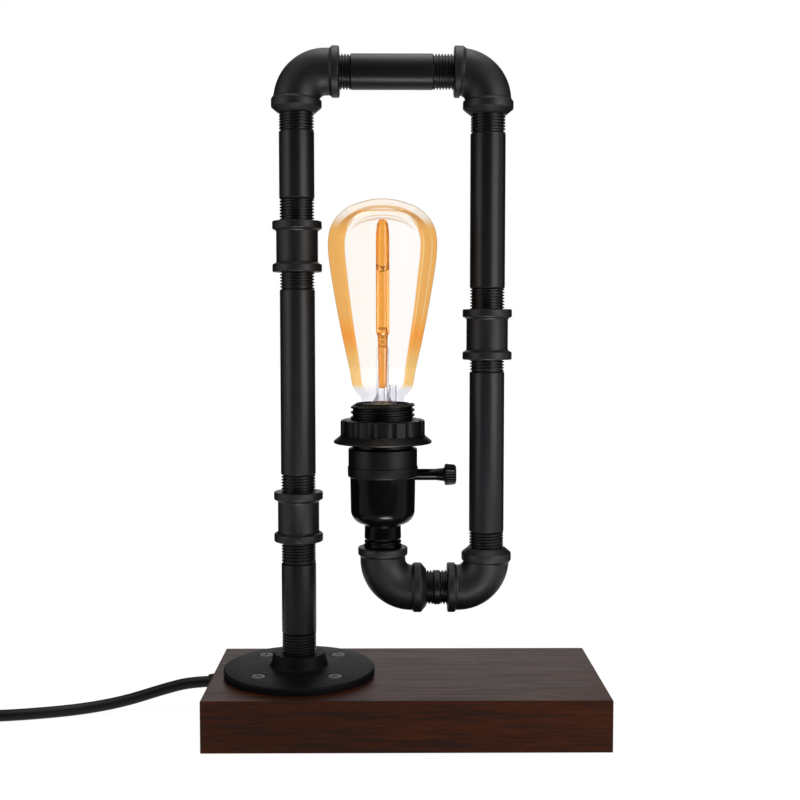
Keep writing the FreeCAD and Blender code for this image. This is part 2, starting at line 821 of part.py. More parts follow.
def make_elbow(label, corner, turn, reaches, sunk, coned):
    # Cast 90 degree elbow. Its own origin is the centre of the bend: the upright port points down at
    # x = -bend, the level port points along +x at z = bend. Each port ends in a strengthening band, and
    # the coned one tapers beyond its band to the pipe.
    body = new_body(label)
    bend, way = s.elbow_bend_radius, s.elbow_waterway / 2
    band, width, bevel = s.elbow_band_diameter / 2, s.elbow_band_width, s.elbow_band_bevel
    mouth, inside = s.pipe_diameter / 2 + s.thread_runout, (thread_bore + way) / 2

    def upright(radius, along):
        return (radius - bend, -along)

    def level(radius, along):
        return (along, bend + radius)

    def port(port_place, corners, kind="Revolution"):
        drawn = [port_place(corner[0], corner[1]) + corner[2:] for corner in corners]
        turn_profile(body, drawn, kind, axis=(*port_place(0, 0), *port_place(0, width)))

    faces = {name: reaches[name] - bend - (s.elbow_cone_length if name == coned else 0) for name in reaches}
    spine = new_sketch(body, "XZ_Plane")
    draw_line(spine, -bend, -faces["upright"], -bend, 0)
    draw_quarter(spine, bend)
    draw_line(spine, 0, bend, faces["level"], bend)

    def sweep(diameter, kind):
        section = new_sketch(body, "XY_Plane", -faces["upright"])
        draw_circle(section, -bend, 0, diameter)
        feature = body.newObject(f"PartDesign::{kind}", kind)
        feature.Profile = section
        feature.Spine = (spine, ["Edge1", "Edge2", "Edge3"])

    sweep(s.elbow_diameter, "AdditivePipe")
    ports = {"upright": upright, "level": level}
    for name, port_place in ports.items():
        length, face = reaches[name] - bend, faces[name]
        tip = [(mouth, length)] if name == coned else []
        port(port_place, [
            (inside, face - width),
            (band - bevel, face - width),
            (band, face - width + bevel),
            (band, face),
        ] + tip + [(inside, length)])
    sweep(s.elbow_waterway, "SubtractivePipe")
    for name, port_place in ports.items():
        length = reaches[name] - bend
        deep = length - sunk[name] - s.elbow_thread_gap
        port(port_place, [(0, deep), (thread_bore, deep), (thread_bore, length), (0, length)], "Groove")
    x, z = corner
    to_right = label.endswith("left")
    to_bottom = label.startswith("elbow_upper")
    place(body, x=x + bend if to_right else x - bend, z=z - bend if to_bottom else z + bend, turn=turn)


# heights and places along the loop of pipe
coupling_lower_z = hub_top + shown("stem_lower")
stem_middle_z = coupling_lower_z + s.coupling_length
coupling_upper_z = stem_middle_z + shown("stem_middle")
stem_upper_z = coupling_upper_z + s.coupling_length
upper_left_face = stem_upper_z + shown("stem_upper")
top_z = upper_left_face + s.upper_left_upright_reach
top_run_x = stem_x + s.upper_left_level_reach
drop_x = top_run_x + shown("top_run") + s.upper_right_level_reach
drop_upper_z = top_z - s.upper_right_upright_reach
coupling_right_z = drop_upper_z - shown("drop_upper") - s.coupling_length
drop_lower_z = coupling_right_z
lower_right_face = drop_lower_z - shown("drop_lower")
bottom_z = lower_right_face - s.lower_right_upright_reach
close_x = drop_x - s.lower_right_level_reach
holder_x = close_x - shown("close_nipple") - s.lower_left_level_reach
lower_left_face = bottom_z + s.lower_left_upright_reach


def make_loop():
    make_nipple("stem_lower", stem_x, hub_top)
    make_coupling("coupling_lower", stem_x, coupling_lower_z)
    make_nipple("stem_middle", stem_x, stem_middle_z)
    make_coupling("coupling_upper", stem_x, coupling_upper_z)
    make_nipple("stem_upper", stem_x, stem_upper_z)
    make_elbow(
        "elbow_upper_left", (stem_x, top_z), None,
        {"level": s.upper_left_level_reach, "upright": s.upper_left_upright_reach},
        {"level": sunk_start("top_run"), "upright": sunk_end("stem_upper")}, "upright")
    make_nipple("top_run", top_run_x, top_z, along_x)
    make_elbow(
        "elbow_upper_right", (drop_x, top_z), half_turn,
        {"level": s.upper_right_level_reach, "upright": s.upper_right_upright_reach},
        {"level": sunk_end("top_run"), "upright": sunk_start("drop_upper")}, "upright")
    make_nipple("drop_upper", drop_x, drop_upper_z, over_side)
    make_coupling("coupling_right", drop_x, coupling_right_z)
    make_nipple("drop_lower", drop_x, drop_lower_z, over_side)
    make_elbow(
        "elbow_lower_right", (drop_x, bottom_z), over_side,
        {"level": s.lower_right_level_reach, "upright": s.lower_right_upright_reach},
        {"level": sunk_start("close_nipple"), "upright": sunk_end("drop_lower")}, "upright")
    make_nipple("close_nipple", close_x, bottom_z, Rotation(Vector(0, 1, 0), -90))
    make_elbow(
        "elbow_lower_left", (holder_x, bottom_z), upside_down,
        {"level": s.lower_left_level_reach, "upright": s.lower_left_upright_reach},
        {"level": sunk_end("close_nipple"), "upright": s.bush_thread_length}, "level")


# ---- lampholder ------------------------------------------------------------------------------------

cap_z = lower_left_face + s.bush_collar_height
seam_z = cap_z + s.cap_neck_height + s.cap_height
sleeve_z = seam_z + s.holder_belt_height
thread_z = sleeve_z + s.holder_sleeve_height
bulb_z = thread_z + s.holder_thread_length - s.holder_mouth_chamfer
cap_bottom = bulb_z - s.bulb_cap_height
knob_z = seam_z + s.knob_seat_height
carrier_z = sleeve_z
carrier_top = carrier_z + s.carrier_height
tube_hole = s.tube_diameter + 2 * s.tube_play


def make_bush():
    body = new_body("reducing_bush")
    thread, collar, chamfer = s.thread_diameter / 2, s.bush_collar_diameter / 2, s.thread_runout
    turn_profile(body, [
        (tube_hole / 2, -s.bush_thread_length),
        (thread - chamfer, -s.bush_thread_length),
        (thread, chamfer - s.bush_thread_length),
        (thread, 0),
        (collar, 0),
        (collar, s.bush_collar_height - chamfer),
        (collar - chamfer, s.bush_collar_height),
        (tube_hole / 2, s.bush_collar_height),
    ])
    place(body, x=holder_x, z=lower_left_face)


def make_tube():
    body = new_body("threaded_tube")
    extrude(body, "Pad", s.tube_length, circles=[(0, 0, s.tube_diameter), (0, 0, s.tube_bore)])
    place(body, x=holder_x, z=cap_z - s.tube_length / 2)


def cut_knob_hole(body, height):
    hole = [(0, height, s.knob_stem_diameter + 2 * s.knob_hole_play)]
    feature = extrude(body, "Pocket", s.holder_belt_diameter, role="YZ_Plane", circles=hole, back=True)
    return feature


def make_holder_cap():
    body = new_body("holder_cap")
    neck, outer, corner, wall = s.cap_neck_diameter / 2, s.cap_diameter / 2, s.cap_corner_radius, s.cap_wall
    floor = s.cap_neck_height
    top = floor + s.cap_height
    inner = outer - wall
    turn_profile(body, [
        (tube_hole / 2, 0),
        (neck, 0),
        (neck, floor),
        (outer - corner, floor),
        (outer, floor + corner, corner),
        (outer, top),
        (inner, top),
        (inner, floor + corner),
        (inner - corner + wall, floor + wall, wall - corner),
        (tube_hole / 2, floor + wall),
    ])
    cut_knob_hole(body, knob_z - cap_z)
    place(body, x=holder_x, z=cap_z)


def make_holder_body():
    body = new_body("holder_body")
    belt, sleeve, thread = s.holder_belt_diameter / 2, s.holder_sleeve_diameter / 2, s.holder_thread_diameter / 2
    skirt = s.cap_diameter / 2 - s.cap_wall - s.holder_skirt_play
    mouth, chamfer, wall = s.holder_mouth_diameter / 2, s.holder_mouth_chamfer, s.holder_wall
    step = s.holder_belt_height
    shoulder = step + s.holder_sleeve_height
    top = shoulder + s.holder_thread_length
    turn_profile(body, [
        (skirt - wall, -s.holder_skirt_length),
        (skirt, -s.holder_skirt_length),
        (skirt, 0),
        (belt, 0),
        (belt, step),
        (sleeve, step),
        (sleeve, shoulder),
        (thread, shoulder),
        (thread, top - chamfer),
        (thread - chamfer, top),
        (mouth, top),
        (mouth, shoulder),
        (skirt - wall, shoulder),
    ])
    cut_knob_hole(body, knob_z - seam_z)
    place(body, x=holder_x, z=seam_z)


def make_shade_ring():
    # threaded ring that clamps a shade: a coned flange below, a skirt with finger grips above
    body = new_body("shade_ring")
    bore = s.holder_thread_diameter / 2 + s.ring_play
    skirt, flange = s.ring_skirt_diameter / 2, s.ring_flange_diameter / 2
    thick, rise, height = s.ring_flange_thickness, s.ring_flange_rise, s.ring_height
    turn_profile(body, [
        (bore, rise),
        (skirt - thick, rise),
        (flange, 0),
        (flange, thick),
        (skirt, thick + rise),
        (skirt, height - thick / 2),
        (skirt - thick / 2, height, thick / 2),
        (bore, height),
    ])
    centre = skirt + s.ring_grip_radius - s.ring_grip_depth
    grip = extrude(
        body, "Pocket", s.ring_height, height=thick + rise + thick,
        circles=[(centre, 0, 2 * s.ring_grip_radius)], back=True)
    repeat_around(body, grip, s.ring_grip_count)
    place(body, x=holder_x, z=thread_z + s.ring_above_sleeve)


def make_carrier():
    # insulating block that carries the screw shell and the centre contact
    body = new_body("contact_carrier")
    skirt = s.cap_diameter / 2 - s.cap_wall - s.holder_skirt_play - s.holder_wall - s.carrier_play
    extrude(body, "Pad", s.carrier_height, circles=[(0, 0, 2 * skirt)])
    slots = [(0, side * s.shell_diameter / 4, s.lead_diameter + 2 * s.cover_play) for side in (-1, 1)]
    extrude(body, "Pocket", 0, circles=slots, back=True, through=True)
    place(body, x=holder_x, z=carrier_z)


def make_screw_shell():
    body = new_body("screw_shell")
    outer, inner = s.shell_diameter / 2, s.shell_diameter / 2 - s.shell_wall
    turn_profile(body, [
        (inner - s.contact_width / 2, 0),
        (outer, 0),
        (outer, s.shell_height),
        (inner, s.shell_height),
        (inner, s.shell_wall),
        (inner - s.contact_width / 2, s.shell_wall),
    ])
    place(body, x=holder_x, z=carrier_top)


def make_centre_contact():
    # springy strip: fixed flat at one end, its free end raised under the tip of the bulb
    body = new_body("centre_contact")
    thick, foot = s.contact_thickness, s.contact_foot
    rise = cap_bottom - s.bulb_cap_cone_height / 2 - s.bulb_tip_height - s.bulb_tip_gap - carrier_top
    extrude(body, "Pad", s.contact_width, role="XZ_Plane", height=-s.contact_width / 2, corners=[
        (-2 * foot, 0), (-foot, 0), (-foot / 2, rise - thick), (foot, rise - thick), (foot, rise),
        (-foot / 2 - thick, rise), (-foot - thick, thick), (-2 * foot, thick),
    ])
    place(body, x=holder_x, z=carrier_top)


def make_switch_body():
    body = new_body("switch_body")
    half_length, half_width = s.switch_length / 2, s.switch_width / 2
    extrude(body, "Pad", s.switch_height, corners=box(-half_length, -half_width, half_length, half_width))
    axis_height = s.switch_height - (carrier_z - knob_z)
    rotor_well = [(0, axis_height, s.rotor_diameter + 2 * s.rotor_play)]
    extrude(body, "Pocket", half_length - s.shaft_start + s.rotor_play, role="YZ_Plane",
            height=half_length, circles=rotor_well)
    terminals = [(-s.switch_length / 4, axis_height, s.terminal_screw_diameter)]
    extrude(body, "Pocket", 0, role="XZ_Plane", height=half_width, circles=terminals, through=True)
    place(body, x=holder_x, z=carrier_z - s.switch_height)


def make_terminal_screws():
    head, shank = s.terminal_screw_head.number, s.terminal_screw_diameter.number
    stud = Part.makeCylinder(head / 2, shank / 2).fuse(
        Part.makeCylinder(shank / 2, shank, Vector(0, 0, -shank))).removeSplitter()
    group = []
    for side in (-1, 1):
        turn = Rotation(Vector(1, 0, 0), -90 * side)
        y = side * (s.switch_width.number / 2)
        group.append(set_down(stud, (holder_x - s.switch_length / 4).number, y, knob_z.number, turn))
    new_group("terminal_screws", group)


def make_switch_shaft():
    # spindle with its rotor, turned about the knob's axis; its own z runs outwards along the knob
    body = new_body("switch_shaft")
    shaft, rotor = s.shaft_diameter / 2, s.rotor_diameter / 2
    turn_profile(body, [
        (0, 0),
        (rotor, 0),
        (rotor, s.rotor_thickness),
        (shaft, s.rotor_thickness),
        (shaft, s.shaft_length),
        (0, s.shaft_length),
    ])
    place(body, holder_x + s.shaft_start, 0, knob_z, along_x)


def make_knob():
    body = new_body("switch_knob")
    stem, flare = s.knob_stem_diameter / 2, s.knob_flare
    head, tip = s.knob_head_diameter / 2, s.knob_tip_diameter / 2
    hole = s.shaft_diameter / 2 + s.shaft_play
    deep = s.shaft_start + s.shaft_length + s.shaft_play
    turn_profile(body, [
        (hole, s.knob_stem_start),
        (stem, s.knob_stem_start),
        (stem, s.knob_stem_end - flare),
        (stem + flare, s.knob_stem_end, -flare),
        (head, s.knob_stem_end + flare),
        (head, s.knob_stem_end + flare * 1.5),
        (tip, s.knob_end - flare / 2),
        (tip - flare / 2, s.knob_end, flare / 2),
        (0, s.knob_end),
        (0, deep),
        (hole, deep),
    ])
    groove = extrude(
        body, "Pocket", s.knob_end - s.knob_stem_end - flare, height=s.knob_stem_end + flare,
        circles=[(head + s.knob_rib_groove / 8, 0, s.knob_rib_groove)], back=True)
    repeat_around(body, groove, s.knob_rib_count)
    place(body, holder_x, 0, knob_z, along_x)


# ---- bulb ------------------------------------------------------------------------------------------

def bulb_outline(inset):
    # right half of the glass, from the neck up to the crown; inset moves it inwards for the inside
    drop, half_width = s.bulb_crown_drop, s.bulb_crown_half_width
    crown_radius = (half_width * half_width + drop * drop) / (2 * drop)
    shrink = (crown_radius - inset) / crown_radius
    crown_x = half_width * shrink
    crown_z = s.bulb_height - crown_radius + (crown_radius - drop) * shrink
    return [
        (s.bulb_neck_diameter / 2 - inset, -s.bulb_neck_depth),
        (s.bulb_neck_diameter / 2 - inset, s.bulb_foot_height),
        (s.bulb_waist_half_width - inset, s.bulb_waist_height, s.bulb_foot_radius),
        (s.bulb_shoulder_half_width - inset, s.bulb_shoulder_height, s.bulb_side_radius),
        (s.bulb_diameter / 2 - inset, s.bulb_widest_height, s.bulb_shoulder_radius),
        (crown_x, crown_z, s.bulb_knuckle_radius - inset),
        (0, s.bulb_height - inset, crown_radius - inset),
    ]


def make_bulb_glass():
    body = new_body("bulb_glass")
    turn_profile(body, [(0, -s.bulb_neck_depth)] + bulb_outline(0 * s.bulb_glass_wall))
    turn_profile(body, [(0, -s.bulb_neck_depth)] + bulb_outline(s.bulb_glass_wall), kind="Groove")
    place(body, x=holder_x, z=bulb_z)


def make_bulb_cap():
    body = new_body("bulb_cap")
    rim, outer, wall = s.bulb_cap_rim_diameter / 2, s.bulb_cap_diameter / 2, s.bulb_cap_wall
    height, cone = s.bulb_cap_height, s.bulb_cap_cone_height
    tip = s.bulb_tip_diameter / 2 + s.bulb_tip_gap + cone / 2
    seat = s.bulb_neck_diameter / 2 + wall / 4
    turn_profile(body, [
        (tip, 0),
        (outer - cone, 0),
        (outer, cone, cone),
        (outer, height - 2 * cone),
        (rim, height - cone),
        (rim, height),
        (seat, height),
        (seat, height - s.bulb_neck_depth - wall),
        (outer - wall, height - 2 * cone - wall),
        (outer - wall, cone),
        (outer - cone, wall, wall - cone),
        (tip, wall),
    ])
    place(body, x=holder_x, z=cap_bottom)


def make_bulb_insulator():
    body = new_body("bulb_insulator")
    tip, cone = s.bulb_tip_diameter / 2, s.bulb_cap_cone_height
    turn_profile(body, [
        (0, -cone / 2),
        (tip, -cone / 2),
        (tip + cone / 2, 0),
        (tip + cone / 2, s.bulb_cap_wall),
        (0, s.bulb_cap_wall),
    ])
    place(body, x=holder_x, z=cap_bottom)


def make_bulb_tip():
    body = new_body("bulb_tip")
    radius, height = s.bulb_tip_diameter / 2, s.bulb_tip_height
    turn_profile(body, [(0, -height), (radius / 2, -height), (radius, -height / 4, height * 2), (radius, 0), (0, 0)])
    place(body, x=holder_x, z=cap_bottom - s.bulb_cap_cone_height / 2)


def make_bulb_stem():
    # pressed glass stem: a flare sealed to the neck, a slim column and a rounded top
    body = new_body("bulb_stem")
    column, flare = s.bulb_stem_diameter / 2, s.bulb_stem_flare
    bottom = -s.bulb_neck_depth
    turn_profile(body, [
        (0, bottom),
        (s.bulb_neck_diameter / 2 - s.bulb_glass_wall, bottom),
        (s.bulb_neck_diameter / 2 - s.bulb_glass_wall, bottom + s.bulb_glass_wall),
        (column, bottom + flare + s.bulb_glass_wall, -flare),
        (column, s.bulb_stem_height - column),
        (0, s.bulb_stem_height, column),
    ])
    place(body, x=holder_x, z=bulb_z)


def make_filaments():
    rod = Part.makeCylinder(s.filament_diameter.number / 2, s.filament_length.number)
    middle, low = s.filament_circle.number / 2, (bulb_z + s.filament_start).number
    count = round(s.filament_count.number)
    group = []
    for index in range(count):
        angle = 2 * math.pi * (index + 0.5) / count
        x, y = middle * math.cos(angle), middle * math.sin(angle)
        group.append(set_down(rod, holder_x.number + x, y, low))
    new_group("filaments", group)


def make_support_wires():
    # a ring of wire above and below the filaments, each with a loop round the stem
    wire, circle = s.support_wire_diameter.number / 2, s.filament_circle.number / 2
    low = (bulb_z + s.filament_start).number - wire
    high = low + s.filament_length.number + 2 * wire
    rings = [Part.makeTorus(circle, wire, Vector(holder_x.number, 0, z)) for z in (low, high)]
    new_group("support_wires", rings)


# ---- leads and cord --------------------------------------------------------------------------------

def rounded_route(points, radii=()):
    # Straight runs joined by tangent arcs. An arc with no radius given is as large as its runs allow.
    edges, used, start = [], [], points[0]
    for index, (before, corner, after) in enumerate(zip(points, points[1:], points[2:])):
        first, second = before - corner, after - corner
        turn = math.pi - first.getAngle(second)
        bend = radii[index] if index < len(radii) else None
        bend = bend or 0.45 * min(first.Length, second.Length) / math.tan(turn / 2)
        cut = bend * math.tan(turn / 2)
        inward, outward = first.normalize(), second.normalize()
        enter, leave = corner + inward * cut, corner + outward * cut
        bisector = (inward + outward).normalize()
        middle = corner + bisector * (bend / math.cos(turn / 2) - bend)
        edges.append(Part.LineSegment(start, enter).toShape())
        edges.append(Part.Arc(enter, middle, leave).toShape())
        used.append(bend)
        start = leave
    edges.append(Part.LineSegment(start, points[-1]).toShape())
    return Part.Wire(edges), used


def sweep_along(route, points, diameter):
    section = Part.Wire([Part.Circle(points[0], points[1] - points[0], diameter / 2).toShape()])
    return route.makePipeShell([section], True, True)


def make_tube_along(label, points, diameter, radii=()):
    route, used = rounded_route(points, radii)
    solid = sweep_along(route, points, diameter)
    expected = math.pi * diameter ** 2 / 4 * route.Length
    listed = " ".join(f"{bend:.1f}" for bend in used)
    print(f"{label}: length {route.Length:.1f}, volume share {solid.Volume / expected:.4f}, radii {listed}")
    tube = doc.addObject("Part::Feature", label.title().replace("_", ""))
    tube.Shape = solid
    return keep(tube, label)


def make_leads():
    # live and neutral run side by side from the connector block round the loop to the switch
    left, right, socket = stem_x.number, drop_x.number, holder_x.number
    block_face = (block_x - s.block_length / 2).number
    pipe_bend = s.elbow_bend_radius.number
    for label, side, way in (("live_lead", -1, way_places[0]), ("neutral_lead", 1, way_places[1])):
        y = side * s.lead_spacing.number / 2
        points = [
            Vector(block_face, way.number, block_way_z.number),
            Vector(left, y, block_way_z.number),
            Vector(left, y, top_z.number),
            Vector(right, y, top_z.number),
            Vector(right, y, bottom_z.number),
            Vector(socket, y, bottom_z.number),
            Vector(socket, y, (carrier_z - s.switch_height).number),
        ]
        make_tube_along(label, points, s.lead_diameter.number, [None] + [pipe_bend] * 4)


# The free cord: straight out of its grommet, down to the table, and away to the left in a slow curve.
# Its first point is the middle of the grommet and its last one is in the outer turn of the coil.
coil_reach = s.coil_mean_radius + s.cord_diameter * s.coil_columns / 2
coil_turn_radius = coil_reach - s.cord_diameter / 2
coil_x = -s.coil_centre_left
coil_y = s.coil_entry_back - coil_turn_radius
coil_height = s.cord_diameter * s.coil_layers
floor_z = s.cord_diameter.number / 2
cord_route = [
    Vector(base_left.number, cord_y.number, cord_z.number),
    Vector(-137.0, cord_y.number, cord_z.number),
    Vector(-157.0, 28.0, 12.2),
    Vector(-179.0, 22.4, 6.6),
    Vector(-203.0, 16.2, 3.7),
    Vector(-229.0, 7.8, floor_z),
    Vector(-260.0, 1.9, floor_z),
    Vector(coil_x.number, s.coil_entry_back.number, floor_z + s.tie_thickness.number),
]

# The last turn falls off the top of the coil and ends in the plug beside it: each point is the angle
# round the coil, how far it is from the middle of the coil, and its height.
tail_route = [
    (88.0, 43.7, 18.8),
    (112.0, 47.0, 18.3),
    (139.0, 51.0, 15.4),
    (166.0, 56.0, 11.2),
    (190.0, 60.5, 8.5),
    (209.0, 64.0, 8.5),
]


def around_coil(degrees, distance, z):
    angle = math.radians(degrees)
    return Vector(coil_x.number + distance * math.cos(angle), coil_y.number + distance * math.sin(angle), z)


def make_coil():
    body = new_body("cord_coil")
    inner, outer = s.coil_mean_radius * 2 - coil_reach, coil_reach
    corner = s.cord_diameter / 2
    turn_profile(body, [
        (outer - corner, 0),
        (outer, corner, corner),
        (outer, coil_height - corner),
        (outer - corner, coil_height, corner),
        (inner + corner, coil_height),
        (inner, coil_height - corner, corner),
        (inner, corner),
        (inner + corner, 0, corner),
    ])
    place(body, coil_x, coil_y, s.tie_thickness)


def make_tie():
    # strap round the turns of the coil, on the side towards the lamp
    body = new_body("cord_tie")
    thick, half = s.tie_thickness, coil_reach - s.coil_mean_radius
    extrude(body, "Pad", s.tie_width, role="XZ_Plane", height=-s.tie_width / 2,
            corners=box(-half - thick, 0, half + thick, coil_height + 2 * thick))
    extrude(body, "Pocket", 0, role="XZ_Plane", height=s.tie_width / 2,
            corners=box(-half, thick, half, coil_height + thick), through=True)
    place(body, coil_x + s.coil_mean_radius, coil_y)


def place_on_cord_end(item, before, end):
    # stands at the end of the tail, with its own x running on along the cord
    item.Placement = Placement(end, Rotation(Vector(1, 0, 0), end - before))


def make_plug():
    body = new_body("plug_body")
    half_width, half_height, nose = s.plug_width / 2, s.plug_height / 2, s.plug_nose_length
    extrude(body, "Pad", nose, role="YZ_Plane", circles=[(0, 0, s.plug_nose_diameter)])
    extrude(body, "Pad", s.plug_length, role="YZ_Plane", height=nose,
            corners=rounded_box(-half_width, -half_height, half_width, half_height, s.plug_corner))
    return body


def make_plug_pins():
    start = (s.plug_nose_length + s.plug_length).number
    length, thick, width = s.pin_length.number, s.pin_thickness.number, s.pin_width.number
    pins = [Part.makeBox(length, thick, width, Vector(start, side * s.pin_spacing.number / 2 - thick / 2, -width / 2))
            for side in (-1, 1)]
    return new_group("plug_pins", pins)


def make_cord_and_plug():
    make_tube_along("power_cord", cord_route, s.cord_diameter.number)
    make_coil()
    make_tie()
    tail = [around_coil(*point) for point in tail_route]
    make_tube_along("cord_tail", tail, s.cord_diameter.number)
    for item in (make_plug(), make_plug_pins()):
        place_on_cord_end(item, *tail[-2:])


# ---- assembly --------------------------------------------------------------------------------------

make_base()
make_cover()
make_feet()
make_cover_screws()
make_grommet()
make_clamp()
make_clamp_screws()
make_cord_inside()
make_connector_block()
make_connector_screws()
make_cord_cores()
make_flange()
make_flange_screws()
make_loop()
make_bush()
make_tube()
make_holder_cap()
make_holder_body()
make_shade_ring()
make_carrier()
make_screw_shell()
make_centre_contact()
make_switch_body()
make_terminal_screws()
make_switch_shaft()
make_knob()
make_bulb_glass()
make_bulb_cap()
make_bulb_insulator()
make_bulb_tip()
make_bulb_stem()
make_filaments()
make_support_wires()
make_leads()
make_cord_and_plug()

doc.recompute()
failed = [item.Name for item in doc.Objects if {"Invalid", "Error"} & set(item.State)]
if failed:
    raise RuntimeError(f"these objects did not build: {failed}")
os.makedirs("parts", exist_ok=True)
for item in nodes:
    if item.Shape.isNull() or not item.Shape.isValid() or not item.Shape.Solids:
        raise RuntimeError(f"{item.Label} has no valid solid")
for item in nodes:
    item.Shape.exportStep(f"parts/{item.Label}.step")
print(f"{len(nodes)} nodes written")
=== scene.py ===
import math

import bmesh
import bpy
from mathutils import Matrix, Vector


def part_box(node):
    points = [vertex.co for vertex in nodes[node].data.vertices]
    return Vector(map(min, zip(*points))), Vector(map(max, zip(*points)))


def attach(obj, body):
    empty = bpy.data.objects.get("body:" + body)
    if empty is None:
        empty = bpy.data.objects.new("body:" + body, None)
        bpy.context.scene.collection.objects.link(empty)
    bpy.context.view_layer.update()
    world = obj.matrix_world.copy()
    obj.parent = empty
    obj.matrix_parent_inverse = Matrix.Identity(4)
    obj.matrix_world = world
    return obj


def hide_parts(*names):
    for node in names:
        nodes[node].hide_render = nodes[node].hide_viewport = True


# Pipe table lamp: black threaded pipe and cast fittings on a dark wooden block, with a bare amber bulb.

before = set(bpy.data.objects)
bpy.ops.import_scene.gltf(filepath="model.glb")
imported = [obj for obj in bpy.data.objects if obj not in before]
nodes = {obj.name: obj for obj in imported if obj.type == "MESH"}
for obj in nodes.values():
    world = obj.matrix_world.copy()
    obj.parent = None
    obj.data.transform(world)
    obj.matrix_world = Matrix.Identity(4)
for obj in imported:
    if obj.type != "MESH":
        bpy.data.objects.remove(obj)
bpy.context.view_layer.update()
print("frame loaded")


def measure(node):
    # a node's lowest and highest corners and its middle
    low, high = (Vector(corner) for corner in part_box(node))
    return low, high, (low + high) / 2


def middleOf(node):
    return measure(node)[2]


def addObject(name, data):
    made = bpy.data.objects.new(name, data)
    bpy.context.scene.collection.objects.link(made)
    return made


def meshOf(bm, name):
    mesh = bpy.data.meshes.new(name)
    bm.to_mesh(mesh)
    bm.free()
    return mesh


stemX = middleOf("stem_middle").x
topZ = middleOf("top_run").z
dropX = middleOf("drop_upper").x
bottomZ = middleOf("close_nipple").z
socketX = middleOf("holder_body").x


# camera and lights

camera = {
    "place": (-0.009, -0.7125, 0.2471), "down": 3.69, "right": 0.44,
    "lens": 52.51, "sensor": 36.0, "clipStart": 0.01,
}


def makeCamera():
    data = bpy.data.cameras.new("camera")
    data.sensor_width = camera["sensor"]
    data.lens = camera["lens"]
    data.clip_start = camera["clipStart"]
    eye = addObject("camera", data)
    eye.location = camera["place"]
    eye.rotation_euler = (math.radians(90 - camera["down"]), 0, math.radians(-camera["right"]))
    bpy.context.scene.camera = eye


lighting = {
    "worldLight": 0.24,
    "boxes": {
        "rightBox": {"place": (0.84, -0.80, 0.36), "aim": (0, 0, 0.22), "size": (0.80, 0.80), "power": 13.0},
        "leftBox": {"place": (-1.03, -0.55, 0.36), "aim": (0, 0, 0.22), "size": (0.55, 0.80), "power": 4.2},
        "lowCard": {"place": (0.02, -0.16, 0.012), "aim": (-0.01, -0.03, 0.16), "size": (0.42, 0.12),
                    "power": 0.75, "spread": 50},
        "topBox": {"place": (0.10, 0.05, 1.40), "aim": (0, 0, 0.1), "size": (1.0, 0.7), "power": 9.0},
    },
}


def makeLights():
    for name, box in lighting["boxes"].items():
        data = bpy.data.lights.new(name, "AREA")
        data.shape = "RECTANGLE"
        data.size, data.size_y = box["size"]
        data.energy = box["power"]
        data.spread = math.radians(box.get("spread", 180))
        lamp = addObject(name, data)
        lamp.location = box["place"]
        lamp.visible_camera = False
        aim = Vector(box["aim"]) - Vector(box["place"])
        lamp.rotation_euler = aim.to_track_quat("-Z", "Y").to_euler()


# shader helpers

class Wire:
    # a shader socket that can be used in sums

    def __init__(self, finish, socket):
        self.finish = finish
        self.socket = socket

    def calc(self, operation, *others):
        return self.finish.add("ShaderNodeMath", self, *others, settings=[("operation", operation)])

    def __add__(self, other):
        return self.calc("ADD", other)

    def __sub__(self, other):
        return self.calc("SUBTRACT", other)

    def __rsub__(self, other):
        return self.finish.add("ShaderNodeMath", other, self, settings=[("operation", "SUBTRACT")])

    def __mul__(self, other):
        return self.calc("MULTIPLY", other)

    def __truediv__(self, other):
        return self.calc("DIVIDE", other)

    __radd__ = __add__
    __rmul__ = __mul__

    def clamp(self):
        return self.finish.add("ShaderNodeClamp", self)

    def below(self, limit, soft):
        # 1 under the limit, 0 above it, with a soft step
        return ((limit - self) / soft + 0.5).clamp()

    def above(self, limit, soft):
        return ((self - limit) / soft + 0.5).clamp()

    def peak(self, centre, reach):
        # 1 at the centre, falling to 0 at its reach on both sides
        return (1 - (self - centre).calc("ABSOLUTE") / reach).clamp()


